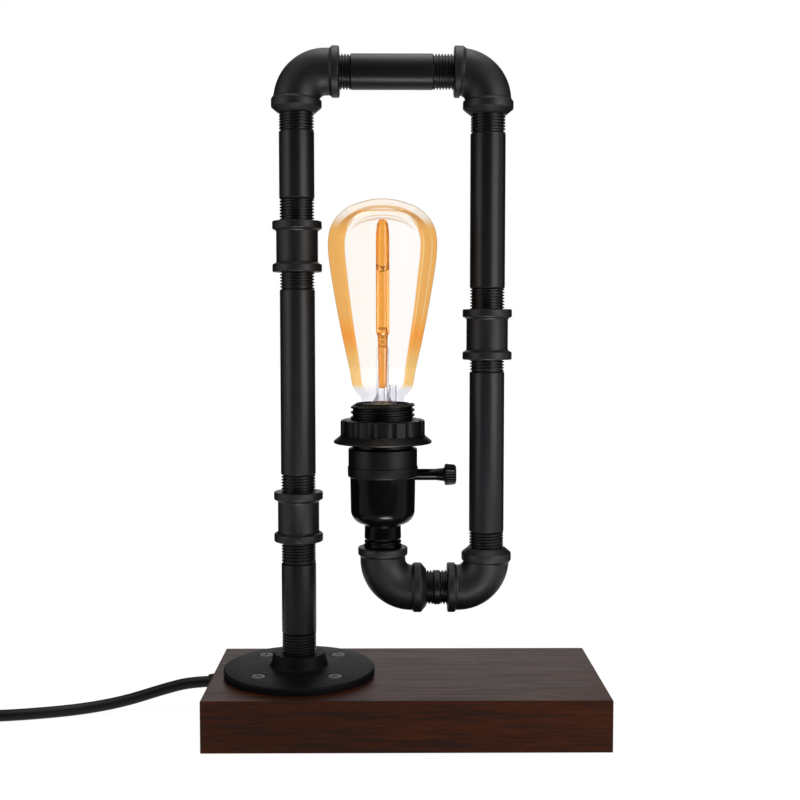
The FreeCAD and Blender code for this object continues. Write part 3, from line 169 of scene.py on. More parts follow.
class Finish:
    # a material, or the world, and the nodes that are added to it

    def __init__(self, name, world=None):
        self.owner = world or bpy.data.materials.new(name)
        self.owner.use_nodes = True
        self.tree = self.owner.node_tree
        self.tree.nodes.clear()
        self.output = self.tree.nodes.new("ShaderNodeOutputWorld" if world else "ShaderNodeOutputMaterial")

    def add(self, kind, *values, settings=(), out=0, **named):
        # settings are (name, value) pairs, set first; then the sockets, in order or by name
        node = self.tree.nodes.new(kind)
        for key, value in settings:
            if key == "stops":
                self.setStops(node.color_ramp, value)
            else:
                setattr(node, key, value)
        pairs = list(zip(node.inputs, values))
        pairs += [(node.inputs[key.replace("_", " ")], value) for key, value in named.items()]
        for socket, value in pairs:
            self.plug(socket, value)
        return Wire(self, node.outputs[out])

    def plug(self, socket, value):
        if isinstance(value, Wire):
            self.tree.links.new(value.socket, socket)
        elif isinstance(value, (tuple, list)) and len(value) == 3 and len(socket.default_value) == 4:
            socket.default_value = (*value, 1.0)
        else:
            socket.default_value = value

    def setStops(self, ramp, stops):
        while len(ramp.elements) < len(stops):
            ramp.elements.new(0.5)
        for element, (place, colour) in zip(ramp.elements, stops):
            element.position = place
            element.color = (*colour, 1.0)

    def place(self, scale=(1, 1, 1), turn=(0, 0, 0), shift=(0, 0, 0)):
        where = self.add("ShaderNodeTexCoord", out="Object")
        return self.add("ShaderNodeMapping", where, shift, turn, scale)

    def noise(self, where, scale, detail=3.0, roughness=0.55, warp=0.0):
        return self.add("ShaderNodeTexNoise", Vector=where, Scale=scale, Detail=detail,
                        Roughness=roughness, Distortion=warp)

    def blend(self, factor, first, second):
        node = self.tree.nodes.new("ShaderNodeMix")
        node.data_type = "RGBA"
        for index, value in ((0, factor), (6, first), (7, second)):
            self.plug(node.inputs[index], value)
        return Wire(self, node.outputs[2])

    def range(self, value, low, high):
        return self.add("ShaderNodeMapRange", value, 0.0, 1.0, low, high)

    def bump(self, height, strength, distance, under=None):
        named = {"Normal": under} if under else {}
        return self.add("ShaderNodeBump", Strength=strength, Distance=distance, Height=height, **named)

    def direct(self):
        # 1 for rays from the camera, off gloss and through glass
        path = self.tree.nodes.new("ShaderNodeLightPath")
        names = ("Is Camera Ray", "Is Glossy Ray", "Is Transmission Ray")
        seen, glossy, through = (Wire(self, path.outputs[name]) for name in names)
        return seen.calc("MAXIMUM", glossy).calc("MAXIMUM", through)

    def show(self, shader):
        self.plug(self.output.inputs["Surface"], shader)
        return self.owner

    def surface(self, **named):
        return self.show(self.add("ShaderNodeBsdfPrincipled", **named))

    def glaze(self, body, share, rough, bend):
        # a thin gloss over a see-through body
        gloss = self.add("ShaderNodeBsdfGlossy", Color=(1, 1, 1), Roughness=rough)
        shine = self.add("ShaderNodeFresnel", IOR=bend)
        return self.show(self.add("ShaderNodeMixShader", shine * share, body, gloss))


# floor and surroundings

stage = {
    "floorHalf": 6.0, "floorColour": (0.92, 0.92, 0.92), "floorGlow": 1.06, "glowShare": 0.90,
    "whiteFrom": 0.45, "screenColour": (0.03, 0.03, 0.03), "screenLift": 0.003,
    "frontScreen": {"sides": (-1.3, 0.75), "height": 1.5, "far": -1.5, "near": -0.42},
    "wings": {"inner": 0.20, "outer": 0.60, "near": 0.12, "far": 2.0, "height": 1.2},
}


def makeStage():
    world = bpy.data.worlds.new("studio")
    bpy.context.scene.world = world
    sky = Finish("studio", world)
    dim = sky.add("ShaderNodeBackground", Color=(1, 1, 1), Strength=lighting["worldLight"])
    white = sky.add("ShaderNodeBackground", Color=(1, 1, 1), Strength=1.0)
    sky.show(sky.add("ShaderNodeMixShader", sky.direct(), dim, white))

    floor = Finish("floorWhite")
    matte = floor.add("ShaderNodeBsdfDiffuse", Color=stage["floorColour"])
    glow = floor.add("ShaderNodeEmission", Color=(1, 1, 1), Strength=stage["floorGlow"])
    far = floor.add("ShaderNodeVectorMath", floor.place(), settings=[("operation", "LENGTH")], out="Value")
    share = (far - stage["whiteFrom"]).clamp() * (1 - stage["glowShare"]) + stage["glowShare"]
    floor.show(floor.add("ShaderNodeMixShader", floor.direct() * share, matte, glow))
    bm = bmesh.new()
    bmesh.ops.create_grid(bm, x_segments=1, y_segments=1, size=stage["floorHalf"])
    sheet = addObject("floor", meshOf(bm, "floor"))
    sheet.data.materials.append(floor.owner)


def extrudeEdges(bm, edges):
    # the new corners and the new far edges
    grown = bmesh.ops.extrude_edge_only(bm, edges=edges)["geom"]
    corners = [item for item in grown if isinstance(item, bmesh.types.BMVert)]
    far = [item for item in grown if isinstance(item, bmesh.types.BMEdge)
           and all(vert in corners for vert in item.verts)]
    return corners, far


def makeScreens():
    # dark screens in front, under the camera, and behind at both sides, which only glossy surfaces show
    dark = Finish("screenDark")
    dark.show(dark.add("ShaderNodeBsdfDiffuse", Color=stage["screenColour"]))
    front, wings = stage["frontScreen"], stage["wings"]
    across = [(side, front["near"]) for side in front["sides"]]
    routes = [(across, (0, front["far"] - front["near"], 0), front["height"])]
    for side in (-1, 1):
        inner, outer = side * wings["inner"], side * wings["outer"]
        backwards = [(inner, wings["near"]), (inner, wings["far"])]
        routes.append((backwards, (outer - inner, 0, 0), wings["height"]))
    bm = bmesh.new()
    for foot, along, height in routes:
        edges = [bm.edges.new([bm.verts.new((*spot, stage["screenLift"])) for spot in foot])]
        for step in (along, (0, 0, height)):
            corners, edges = extrudeEdges(bm, edges)
            bmesh.ops.translate(bm, vec=step, verts=corners)
    screen = addObject("screen", meshOf(bm, "screen"))
    screen.data.materials.append(dark.owner)
    for kind in ("camera", "diffuse", "transmission", "shadow", "volume_scatter"):
        setattr(screen, "visible_" + kind, False)


# finishes: black paint, moulded black, cord rubber and wood

paint = {
    "dark": (0.0019, 0.0019, 0.0024), "light": (0.0038, 0.0038, 0.0046), "pit": (0.001, 0.001, 0.0013),
    "pitShare": 0.55, "pitBelow": (0.36, 0.16), "lumpSize": 7, "cloudScale": 45.0,
    "streak": (0.008, 0.008, 0.0092), "streakShare": 0.35, "streakScale": (900, 900, 18),
}


def blackPaint(name, dull, gloss, grain=1500.0, height=0.0001, streaked=False):
    # satin paint, over a rough casting or over drawn pipe
    finish = Finish(name)
    where = finish.place()
    grains = finish.noise(where, grain, 4.0, 0.62)
    lumps = finish.noise(where, grain / paint["lumpSize"])
    clouds = finish.noise(where, paint["cloudScale"], 4.0, 0.6)
    shade = finish.blend(clouds, paint["dark"], paint["light"])
    colour = finish.blend(grains.below(*paint["pitBelow"]) * paint["pitShare"], shade, paint["pit"])
    if streaked:
        drawn = finish.noise(finish.place(scale=paint["streakScale"]), 1.0)
        colour = finish.blend(drawn * paint["streakShare"], colour, paint["streak"])
    normal = finish.bump(lumps, 0.35, height * 2)
    normal = finish.bump(grains, 0.45, height, normal)
    rough = finish.range(clouds, dull - 0.06, dull + 0.07) + (grains - 0.5) * 0.10
    return finish.surface(Base_Color=colour, Roughness=rough, Normal=normal, IOR=gloss)


mould = {
    "dark": (0.0006, 0.0006, 0.0006), "light": (0.0014, 0.0014, 0.0013), "flowScale": 38.0,
    "dustScale": 2600.0, "scuffScale": (60, 60, 420), "scuffBelow": (0.36, 0.2), "roughSpread": 0.08,
}


def moulding(name, dull, gloss, dust):
    # black phenolic, polished or as it leaves the mould
    finish = Finish(name)
    where = finish.place()
    flow = finish.noise(where, mould["flowScale"], 3.0, 0.5, 0.8)
    grains = finish.noise(where, mould["dustScale"], 2.0)
    scuff = finish.noise(finish.place(scale=mould["scuffScale"]), 1.0, 4.0)
    colour = finish.blend(flow, mould["dark"], mould["light"])
    spread = mould["roughSpread"]
    rough = finish.range(flow, dull, dull + spread) + scuff.below(*mould["scuffBelow"]) * spread
    normal = finish.bump(flow, 0.06, 0.0004)
    normal = finish.bump(grains, dust, 0.00005, normal)
    return finish.surface(Base_Color=colour, Roughness=rough, Normal=normal, IOR=gloss)


sheath = {"dark": (0.003, 0.0031, 0.0034), "light": (0.0062, 0.0064, 0.0068), "rough": (0.30, 0.42),
          "fineScale": 1400.0, "broadScale": 60.0, "gloss": 1.24}


def cordRubber():
    finish = Finish("cordRubber")
    where = finish.place()
    fine = finish.noise(where, sheath["fineScale"], 2.0)
    broad = finish.noise(where, sheath["broadScale"])
    colour = finish.blend(broad, sheath["dark"], sheath["light"])
    return finish.surface(Base_Color=colour, Roughness=finish.range(broad, *sheath["rough"]),
                          Normal=finish.bump(fine, 0.12, 0.0001), IOR=sheath["gloss"])


timber = {
    "lean": (0, 0.07, 0.04), "swayScale": (6, 26, 26), "slowScale": (8, 95, 95),
    "lineScale": (20, 420, 420), "fibreScale": (55, 1100, 1100), "poreScale": (120, 2600, 2600),
    "tones": [(0.10, (0.016, 0.0052, 0.0024)), (0.42, (0.029, 0.0072, 0.0023)),
              (0.62, (0.04, 0.0094, 0.0026)), (0.92, (0.054, 0.014, 0.004))],
    "line": (0.009, 0.0046, 0.0036), "fibre": (0.01, 0.0038, 0.0024), "pore": (0.005, 0.0026, 0.0022),
    "lineBelow": (0.46, 0.10), "rough": (0.30, 0.42), "gloss": 1.165,
}


def darkWood():
    # open grain along the length of the block, stained dark and lacquered
    finish = Finish("darkWood")
    lean = timber["lean"]
    sway = finish.noise(finish.place(scale=timber["swayScale"]), 1.0, 3.0, 0.5)
    slow = finish.noise(finish.place(scale=timber["slowScale"], turn=lean), 1.0, 5.0, 0.6, 0.9)
    lineSpace = finish.place(scale=timber["lineScale"], turn=lean, shift=(5, 2, 3))
    lines = finish.noise(lineSpace, 1.0, 3.0, 0.6, 0.5).below(*timber["lineBelow"])
    fibre = finish.noise(finish.place(scale=timber["fibreScale"], turn=lean), 1.0, 4.0, 0.7)
    pores = finish.noise(finish.place(scale=timber["poreScale"], shift=(3, 1, 2)), 1.0, 2.0, 0.6)
    tone = (slow * 0.75 + sway * 0.45 - 0.1).clamp()
    colour = finish.add("ShaderNodeValToRGB", tone, settings=[("stops", timber["tones"])])
    colour = finish.blend(lines * 0.66, colour, timber["line"])
    colour = finish.blend(fibre.below(0.42, 0.2) * 0.45, colour, timber["fibre"])
    colour = finish.blend(pores.below(0.36, 0.08) * 0.6, colour, timber["pore"])
    normal = finish.bump(fibre, 0.16, 0.0002)
    normal = finish.bump(pores.below(0.38, 0.1), 0.16, 0.0002, normal)
    rough = finish.range(slow, *timber["rough"]) + lines * 0.06
    return finish.surface(Base_Color=colour, Roughness=rough, Normal=normal, IOR=timber["gloss"])


# plain plastics and metals

plainKinds = {
    "plastic": {"metallic": 0.0, "darker": 0.72, "broad": (90.0, 3.0), "fine": (2200.0, 2.0),
                "smoother": 0.06, "rougher": 0.08, "bump": (0.15, 0.00008)},
    "metal": {"metallic": 1.0, "darker": 0.62, "broad": (120.0, 4.0, 0.6), "fine": (1800.0, 3.0),
              "smoother": 0.08, "rougher": 0.12, "bump": (0.12, 0.00005)},
}
plainLooks = {
    # kind, colour, roughness and the nodes that carry it
    "darkSteel": ("metal", (0.07, 0.07, 0.074), 0.42, []),
    "zinc": ("metal", (0.62, 0.63, 0.64), 0.34, ["cover_screws", "clamp_screws", "threaded_tube"]),
    "nickel": ("metal", (0.66, 0.64, 0.60), 0.26, ["bulb_cap"]),
    "brass": ("metal", (0.72, 0.50, 0.20), 0.32, ["plug_pins", "connector_screws", "screw_shell",
                                                  "centre_contact", "terminal_screws", "switch_shaft"]),
    "wireMetal": ("metal", (0.10, 0.045, 0.02), 0.40, []),
    "solder": ("metal", (0.55, 0.55, 0.56), 0.42, ["bulb_tip"]),
    "filamentCoat": ("plastic", (0.70, 0.27, 0.055), 0.45, ["filaments"]),
    "whitePlastic": ("plastic", (0.62, 0.60, 0.55), 0.48, ["cord_clamp", "connector_block"]),
    "blackPlastic": ("plastic", (0.02, 0.02, 0.021), 0.50, ["cord_tie", "bottom_cover", "switch_body",
                                                              "bulb_insulator"]),
    "brownLead": ("plastic", (0.075, 0.028, 0.014), 0.42, ["live_lead"]),
    "blueLead": ("plastic", (0.012, 0.05, 0.17), 0.42, ["neutral_lead", "cord_cores"]),
    "porcelain": ("plastic", (0.74, 0.72, 0.66), 0.30, ["contact_carrier"]),
}


def plainFinish(name, kind, colour, rough):
    look = plainKinds[kind]
    finish = Finish(name)
    where = finish.place()
    broad = finish.noise(where, *look["broad"])
    fine = finish.noise(where, *look["fine"])
    darker = tuple(part * look["darker"] for part in colour)
    return finish.surface(Base_Color=finish.blend(broad, darker, colour), Metallic=look["metallic"],
                          Roughness=finish.range(broad, rough - look["smoother"], rough + look["rougher"]),
                          Normal=finish.bump(fine, *look["bump"]))


# glass

amberGlass = {
    "tints": {
        "clear": (0.996, 0.984, 0.97), "peach": (0.99, 0.945, 0.89), "amber": (0.95, 0.685, 0.365),
        # light: the colour of the painted highlight streaks on the right of the glass
        "pale": (0.96, 0.78, 0.49), "hot": (0.985, 0.595, 0.24), "light": (0.99, 0.90, 0.74),
        # line: the colour of the band's outline and of the painted reflection line on the crown
        "arc": (0.80, 0.56, 0.33), "line": (0.74, 0.50, 0.30), "rim": (0.64, 0.48, 0.32),
        "foot": (0.885, 0.885, 0.925),
    },
    # heights over the seat, each with the softness of its step
    "footTo": (0.0105, 0.0035), "crownFrom": (0.1105, 0.007), "paleTo": (0.028, 0.016),
    "hotAt": (0.0425, 0.013), "highlightStreaksFrom": (0.045, 0.02), "highlightStreaksTo": (0.104, 0.012),
    # how far the glass turns from the eye, 0 to 1, each with the softness of its step
    "bandFrom": 0.285, "bandFromOnCrown": 0.425, "bandSoft": 0.022, "clearFrom": (0.525, 0.035),
    "outlineReach": 0.013, "crownReflectionLine": (0.24, 0.028), "peachFrom": (0.27, 0.02), "rimFrom": (0.86, 0.08),
    "highlightStreaks": [(0.345, 0.02, 0.55), (0.575, 0.03, 0.65)],  # place, reach, share of the two painted highlight streaks
    # shares of the tints
    "peachShare": 0.8, "glowShare": 0.45, "paleShare": 0.9, "hotShare": 0.85, "arcShare": 0.90,
    "outlineShare": 0.30, "rimShare": 0.75, "footShare": 0.8,
    "highlightStreaksOver": 0.004, "paintedGlowOver": -0.01,  # metres from the middle, to the right for the painted highlight streaks and to the left for the painted glow
    "rippleScale": (30, 30, 14), "rippleShare": 0.02,
    "glaze": (0.10, 0.03, 1.30),  # share, roughness, refraction
}


def mixFilms(finish, first, *layers):
    # tinted see-through films, each mixed over those before it
    tints = amberGlass["tints"]
    if first in tints:
        first = finish.add("ShaderNodeBsdfTransparent", Color=tints[first])
    for factor, tint in layers:
        film = finish.add("ShaderNodeBsdfTransparent", Color=tints[tint])
        first = finish.add("ShaderNodeMixShader", factor, first, film)
    return first


def bulbGlassFinish(seatZ):
    # thin coated glass: clear where it is looked straight through, amber where it is seen edge on
    glass = amberGlass
    finish = Finish("amberGlass")
    where = finish.place()
    height = finish.add("ShaderNodeSeparateXYZ", where, out="Z") - seatZ
    across = finish.add("ShaderNodeSeparateXYZ", where, out="X") - socketX
    ripple = finish.noise(finish.place(scale=glass["rippleScale"]), 1.0, 2.0)
    facing = finish.add("ShaderNodeLayerWeight", Blend=0.5, out="Facing")
    edge = facing + (ripple - 0.5) * glass["rippleShare"]

    onFoot = height.below(*glass["footTo"])
    offFoot = 1 - onFoot
    onCrown = height.above(*glass["crownFrom"])
    inner = onCrown * (glass["bandFromOnCrown"] - glass["bandFrom"]) + glass["bandFrom"]
    clearTop = edge.above(*glass["clearFrom"]) * onCrown
    band = edge.above(inner, glass["bandSoft"]) * (1 - clearTop) * offFoot
    peach = edge.above(*glass["peachFrom"]) * onCrown * glass["peachShare"]
    # painted glow: the clear glass left of the middle is tinted peach
    glow = (across / glass["paintedGlowOver"]).clamp() * glass["glowShare"]
    pale = height.below(*glass["paleTo"]) * glass["paleShare"]
    hotSpot = height.peak(*glass["hotAt"]) * glass["hotShare"]
    # painted highlight: two light streaks near the right edge, only right of the middle and between two
    # heights
    first, second = (edge.peak(place, reach) * share for place, reach, share in glass["highlightStreaks"])
    onHighlightStreaks = (across / glass["highlightStreaksOver"]).clamp() * height.above(*glass["highlightStreaksFrom"])
    highlightStreaks = (first + second) * (onHighlightStreaks * height.below(*glass["highlightStreaksTo"]))
    outline = edge.peak(inner, glass["outlineReach"]) * offFoot * glass["outlineShare"]
    # painted reflection: a thin line on the crown for the filament column mirrored in the glass
    crownReflectionLine = edge.peak(*glass["crownReflectionLine"]) * onCrown
    rim = edge.above(*glass["rimFrom"]) * offFoot * glass["rimShare"]

    # the peach tint carries the crown's peach zone and the painted glow on the left
    film = mixFilms(finish, "clear", ((peach + glow).clamp(), "peach"))
    # the light tint lays the painted highlight streaks over the amber
    coat = mixFilms(finish, "amber", (pale, "pale"), (hotSpot, "hot"), (highlightStreaks, "light"),
                    (onCrown * glass["arcShare"], "arc"))
    body = finish.add("ShaderNodeMixShader", band, film, coat)
    # the line tint draws the band's outline and the painted reflection line on the crown
    body = mixFilms(finish, body, ((outline + crownReflectionLine).clamp(), "line"), (rim, "rim"),
                    (onFoot * glass["footShare"], "foot"))
    return finish.glaze(body, *glass["glaze"])


tubeGlass = {"edgeShare": 0.9, "deepen": 1.8, "rippleScale": 120.0, "rippleShare": 0.1,
             "glaze": (0.6, 0.04, 1.4)}


def tubeGlassFinish(name, tint):
    finish = Finish(name)
    facing = finish.add("ShaderNodeLayerWeight", Blend=0.5, out="Facing")
    ripple = finish.noise(finish.place(), tubeGlass["rippleScale"], 2.0)
    deep = tuple(part ** tubeGlass["deepen"] for part in tint)
    middle, edge = (finish.add("ShaderNodeBsdfTransparent", Color=colour) for colour in (tint, deep))
    share = facing * tubeGlass["edgeShare"] + (ripple - 0.5) * tubeGlass["rippleShare"]
    body = finish.add("ShaderNodeMixShader", share.clamp(), middle, edge)
    return finish.glaze(body, *tubeGlass["glaze"])


castBlack = blackPaint("castBlack", dull=0.42, gloss=1.26)
elbowBlack = blackPaint("elbowBlack", dull=0.45, gloss=1.30)
flangeBlack = blackPaint("flangeBlack", dull=0.46, gloss=1.11)
pipeBlack = blackPaint("pipeBlack", dull=0.32, gloss=1.235, grain=2400.0, height=0.00003, streaked=True)
holderBlack = moulding("holderBlack", dull=0.08, gloss=1.165, dust=0.05)
holderSatin = moulding("holderSatin", dull=0.32, gloss=1.185, dust=0.20)
wood = darkWood()
rubber = cordRubber()
plain = {name: plainFinish(name, *look[:3]) for name, look in plainLooks.items()}
print("finishes made")


# mesh helpers

def softOutline(corners, steps=5):
    # (x, y, radius) corners, each rounded by its radius where it has one
    points = []
    for index, (x, y, *radius) in enumerate(corners):
        here = Vector((x, y))
        if not radius or index in (0, len(corners) - 1):
            points.append(here)
            continue
        back = (Vector(corners[index - 1][:2]) - here).normalized()
        ahead = (Vector(corners[index + 1][:2]) - here).normalized()
        half = back.angle(ahead) / 2
        run = radius[0] / math.tan(half)
        middle = here + (back + ahead).normalized() * radius[0] / math.sin(half)
        start, end = here + back * run - middle, here + ahead * run - middle
        sweep = start.angle_signed(end)
        for step in range(steps + 1):
            turned = start.copy()
            turned.rotate(Matrix.Rotation(-sweep * step / steps, 2))
            points.append(middle + turned)
    return points


def spinOutline(bm, corners, segments, steps=5, turns=1, climb=0.0):
    # turns an outline of (radius, height, rounding) corners about the z axis; a thread also climbs
    points = [bm.verts.new((point.x, 0, point.y)) for point in softOutline(corners, steps)]
    edges = [bm.edges.new(pair) for pair in zip(points, points[1:])]
    bmesh.ops.spin(bm, geom=points + edges, cent=(0, 0, 0), axis=(0, 0, 1), angle=2 * math.pi * turns,
                   dvec=(0, 0, climb / segments), steps=round(segments * turns), use_merge=not climb,
                   use_duplicate=False)


ridge = [("root", 0.0), ("root", 0.12), ("crest", 0.36), ("crest", 0.64), ("root", 0.88), ("root", 1.0)]


def addThread(bm, low, turns, sizes):
    # one turn of the ridge's outline, spun upwards
    shape = [(sizes[level], low + share * sizes["pitch"]) for level, share in ridge]
    spinOutline(bm, shape, sizes["segments"], turns=turns, climb=sizes["pitch"])


def finishPiece(bm, name, material, body, replaced, place, sharp=40.0):
    bmesh.ops.remove_doubles(bm, verts=bm.verts, dist=1e-6)
    bmesh.ops.recalc_face_normals(bm, faces=bm.faces)
    bmesh.ops.transform(bm, matrix=place, verts=bm.verts)
    for face in bm.faces:
        face.smooth = True
    for edge in bm.edges:
        edge.smooth = len(edge.link_faces) == 2 and edge.calc_face_angle(0.0) < math.radians(sharp)
    piece = addObject(name, meshOf(bm, name))
    piece.data.materials.append(material)
    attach(piece, body)
    if replaced:
        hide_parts(replaced)
    return piece


def bakedMesh(thing):
    # the mesh that a thing's curve or modifiers make
    graph = bpy.context.evaluated_depsgraph_get()
    return bpy.data.meshes.new_from_object(thing.evaluated_get(graph))


def cutWith(piece, bm):
    # takes the shape in bm out of the piece's mesh
    tool = addObject("cutter", meshOf(bm, "cutter"))
    modifier = piece.modifiers.new("cut", "BOOLEAN")
    modifier.operation = "DIFFERENCE"
    modifier.solver = "EXACT"
    modifier.object = tool
    bpy.context.view_layer.update()
    baked = bakedMesh(piece)
    piece.modifiers.clear()
    piece.data = baked
    bpy.data.objects.remove(tool)


def splineCurve(name, points, radius, roundness, resolution=12):
    data = bpy.data.curves.new(name, "CURVE")
    data.dimensions = "3D"
    data.bevel_depth = radius
    data.bevel_resolution = roundness
    data.resolution_u = resolution
    spline = data.splines.new("NURBS")
    spline.points.add(len(points) - 1)
    for point, place in zip(spline.points, points):
        point.co = (*place, 1)
    spline.order_u = 3
    spline.use_endpoint_u = True
    return addObject(name, data)


def upright(x, z, y=0.0):
    return Matrix.Translation((x, y, z))


def levelled(x, y, z):
    # the z axis turned to point to the right
    return upright(x, z, y) @ Matrix.Rotation(math.pi / 2, 4, "Y")


def dress(material, names):
    for name in names:
        slots = nodes[name].material_slots
        for slot in slots:
            slot.material = material
        if not slots:
            nodes[name].data.materials.append(material)


# cord and coil; the plug keeps its part-file shape and is dressed with the other nodes

cordSizes = {
    "diameter": 0.0072,
    "length": 1.79,
    "route": [(-0.119, 0.03, 0.017), (-0.137, 0.03, 0.017), (-0.157, 0.028, 0.0122),
              (-0.179, 0.0224, 0.0066), (-0.203, 0.0162, 0.0037), (-0.229, 0.0078, 0.0036),
              (-0.26, 0.0019, 0.0036)],
    "coilMiddle": (-0.29, -0.0429), "coilRadii": {"outer": 0.0436, "inner": 0.0364},
    "coilLift": 0.0044, "coilStart": 90, "pointsPerTurn": 16, "crossingShare": 0.3,
    "turns": [("outer", 0), ("inner", 0), ("inner", 1), ("outer", 1), ("inner", 2), ("outer", 2)],
    "tail": [(112, 0.047, 0.0183), (139, 0.051, 0.0154), (166, 0.056, 0.0112), (190, 0.0605, 0.0085),
             (209, 0.064, 0.0085)],
}


def coilPoint(degrees, radius, z):
    angle = math.radians(degrees)
    x, y = cordSizes["coilMiddle"]
    return x + radius * math.cos(angle), y + radius * math.sin(angle), z


def makeCord():
    points = list(cordSizes["route"])
    count, turns, crossing = (cordSizes[key] for key in ("pointsPerTurn", "turns", "crossingShare"))
    spread = (2 / (1 + math.cos(2 * math.pi / count))) ** 0.5  # the spline runs inside its points
    for (column, layer), (nextColumn, nextLayer) in zip(turns, turns[1:] + turns[-1:]):
        radius, nextRadius = (cordSizes["coilRadii"][key] * spread for key in (column, nextColumn))
        for step in range(count):
            # the last part of a turn moves over to the next
            share = max(0.0, (step / count - 1 + crossing) / crossing)
            layers = layer * (1 - share) + nextLayer * share
            points.append(coilPoint(cordSizes["coilStart"] + 360 * step / count,
                                    radius * (1 - share) + nextRadius * share,
                                    cordSizes["coilLift"] + layers * cordSizes["diameter"]))
    points += [coilPoint(*point) for point in cordSizes["tail"]]
    cord = splineCurve("powerCord", points, cordSizes["diameter"] / 2, roundness=7, resolution=6)
    cord.data.use_fill_caps = True
    cord.data.materials.append(rubber)
    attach(cord, "lamp")
    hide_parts("power_cord", "cord_coil", "cord_tail")


# pipes

pipe = {"outer": 0.01065, "bore": 0.008, "threaded": 0.02, "runOut": 0.0009, "rounding": 0.0003,
        "segments": 96, "sharp": 28.0}
closeNipple = {"outer": 0.01057, "threaded": 0.0123}
pipeThread = {"pitch": 0.001814, "root": 0.0094, "crest": 0.01047, "segments": 48}


def makePipe(node):
    low, high, middle = measure(node)
    size = high - low
    length = max(size)
    sizes = {**pipe, **closeNipple} if node == "close_nipple" else pipe
    outer, bore, root, rounding = sizes["outer"], pipe["bore"], pipeThread["root"], pipe["rounding"]
    # the thread runs out between the end of its root and the start of the body
    rootEnd = sizes["threaded"] - pipe["runOut"] * 0.6
    bodyStart = sizes["threaded"] + pipe["runOut"] * 0.4
    reach = sizes["threaded"] + pipe["runOut"] * 0.2
    bm = bmesh.new()
    spinOutline(bm, [
        (bore, 0.0), (root, 0.0), (root, rootEnd), (outer, bodyStart, rounding),
        (outer, length - bodyStart, rounding), (root, length - rootEnd), (root, length), (bore, length),
        (bore, 0.0),
    ], pipe["segments"])
    turns = math.floor(reach / pipeThread["pitch"])
    for start in (reach - turns * pipeThread["pitch"], length - reach):
        addThread(bm, start, turns, pipeThread)
    place = upright(middle.x, low.z, middle.y) if size.z == length else levelled(low.x, middle.y, middle.z)
    finishPiece(bm, "pipe_" + node, pipeBlack, "lamp", node, place, pipe["sharp"])


# fittings: couplings, elbows and the floor flange

coupling = {"band": 0.015, "core": 0.01265, "bandWidth": 0.0046, "taper": 0.0011, "bore": 0.01,
            "chamfer": (0.0007, 0.0006), "rounding": (0.0007, 0.0009, 0.0016)}  # of edge, band and core


def makeCoupling(node):
    low, high, middle = measure(node)
    length = high.z - low.z
    bore, band, core, width = (coupling[key] for key in ("bore", "band", "core", "bandWidth"))
    wide, deep = coupling["chamfer"]
    atEdge, atBand, atCore = coupling["rounding"]
    half = [(bore, length / 2), (bore, deep), (bore + wide, 0.0), (band, 0.0, atEdge), (band, width, atBand),
            (core, width + coupling["taper"], atCore)]
    otherHalf = [(x, length - y, *rounding) for x, y, *rounding in reversed(half)]
    bm = bmesh.new()
    spinOutline(bm, half + otherHalf, 96, 6)
    finishPiece(bm, "fitting_" + node, castBlack, "lamp", node,
                upright(middle.x, low.z, middle.y))


elbow = {
    "bend": 0.0175, "body": 0.0139, "band": 0.01525, "bandWidth": 0.0043, "taper": 0.0011, "cone": 0.0033,
    "mouth": 0.0113, "bore": 0.01, "depth": 0.011, "chamfer": (0.0006, 0.0007), "steps": 26,
    "segments": 72,
    # corner of the run, upright port down or up, level port left or right, coned port
    "places": {
        "elbow_upper_left": ((stemX, topZ), (-1, 1), "upright"),
        "elbow_upper_right": ((dropX, topZ), (-1, -1), "upright"),
        "elbow_lower_right": ((dropX, bottomZ), (1, -1), "upright"),
        "elbow_lower_left": ((socketX, bottomZ), (1, 1), "level"),
    },
    "turns": {(-1, 1): (0, "X"), (-1, -1): (180, "Z"), (1, -1): (180, "Y"), (1, 1): (180, "X")},
}


def elbowPort(isConed):
    # from inside the bore out over the face and back to the body, as (distance from the face, radius)
    band, bore = elbow["band"], elbow["bore"]
    wide, deep = elbow["chamfer"]
    cone = elbow["cone"] if isConed else 0.0
    outline = [(elbow["depth"], bore), (deep, bore), (0.0, bore + wide)]
    if isConed:
        outline += [(0.0, elbow["mouth"], 0.0004), (cone, band, 0.001)]
    else:
        outline += [(0.0, band, 0.0007)]
    back = cone + elbow["bandWidth"]
    return outline + [(back, band, 0.0008), (back + elbow["taper"], elbow["body"], 0.0014)]


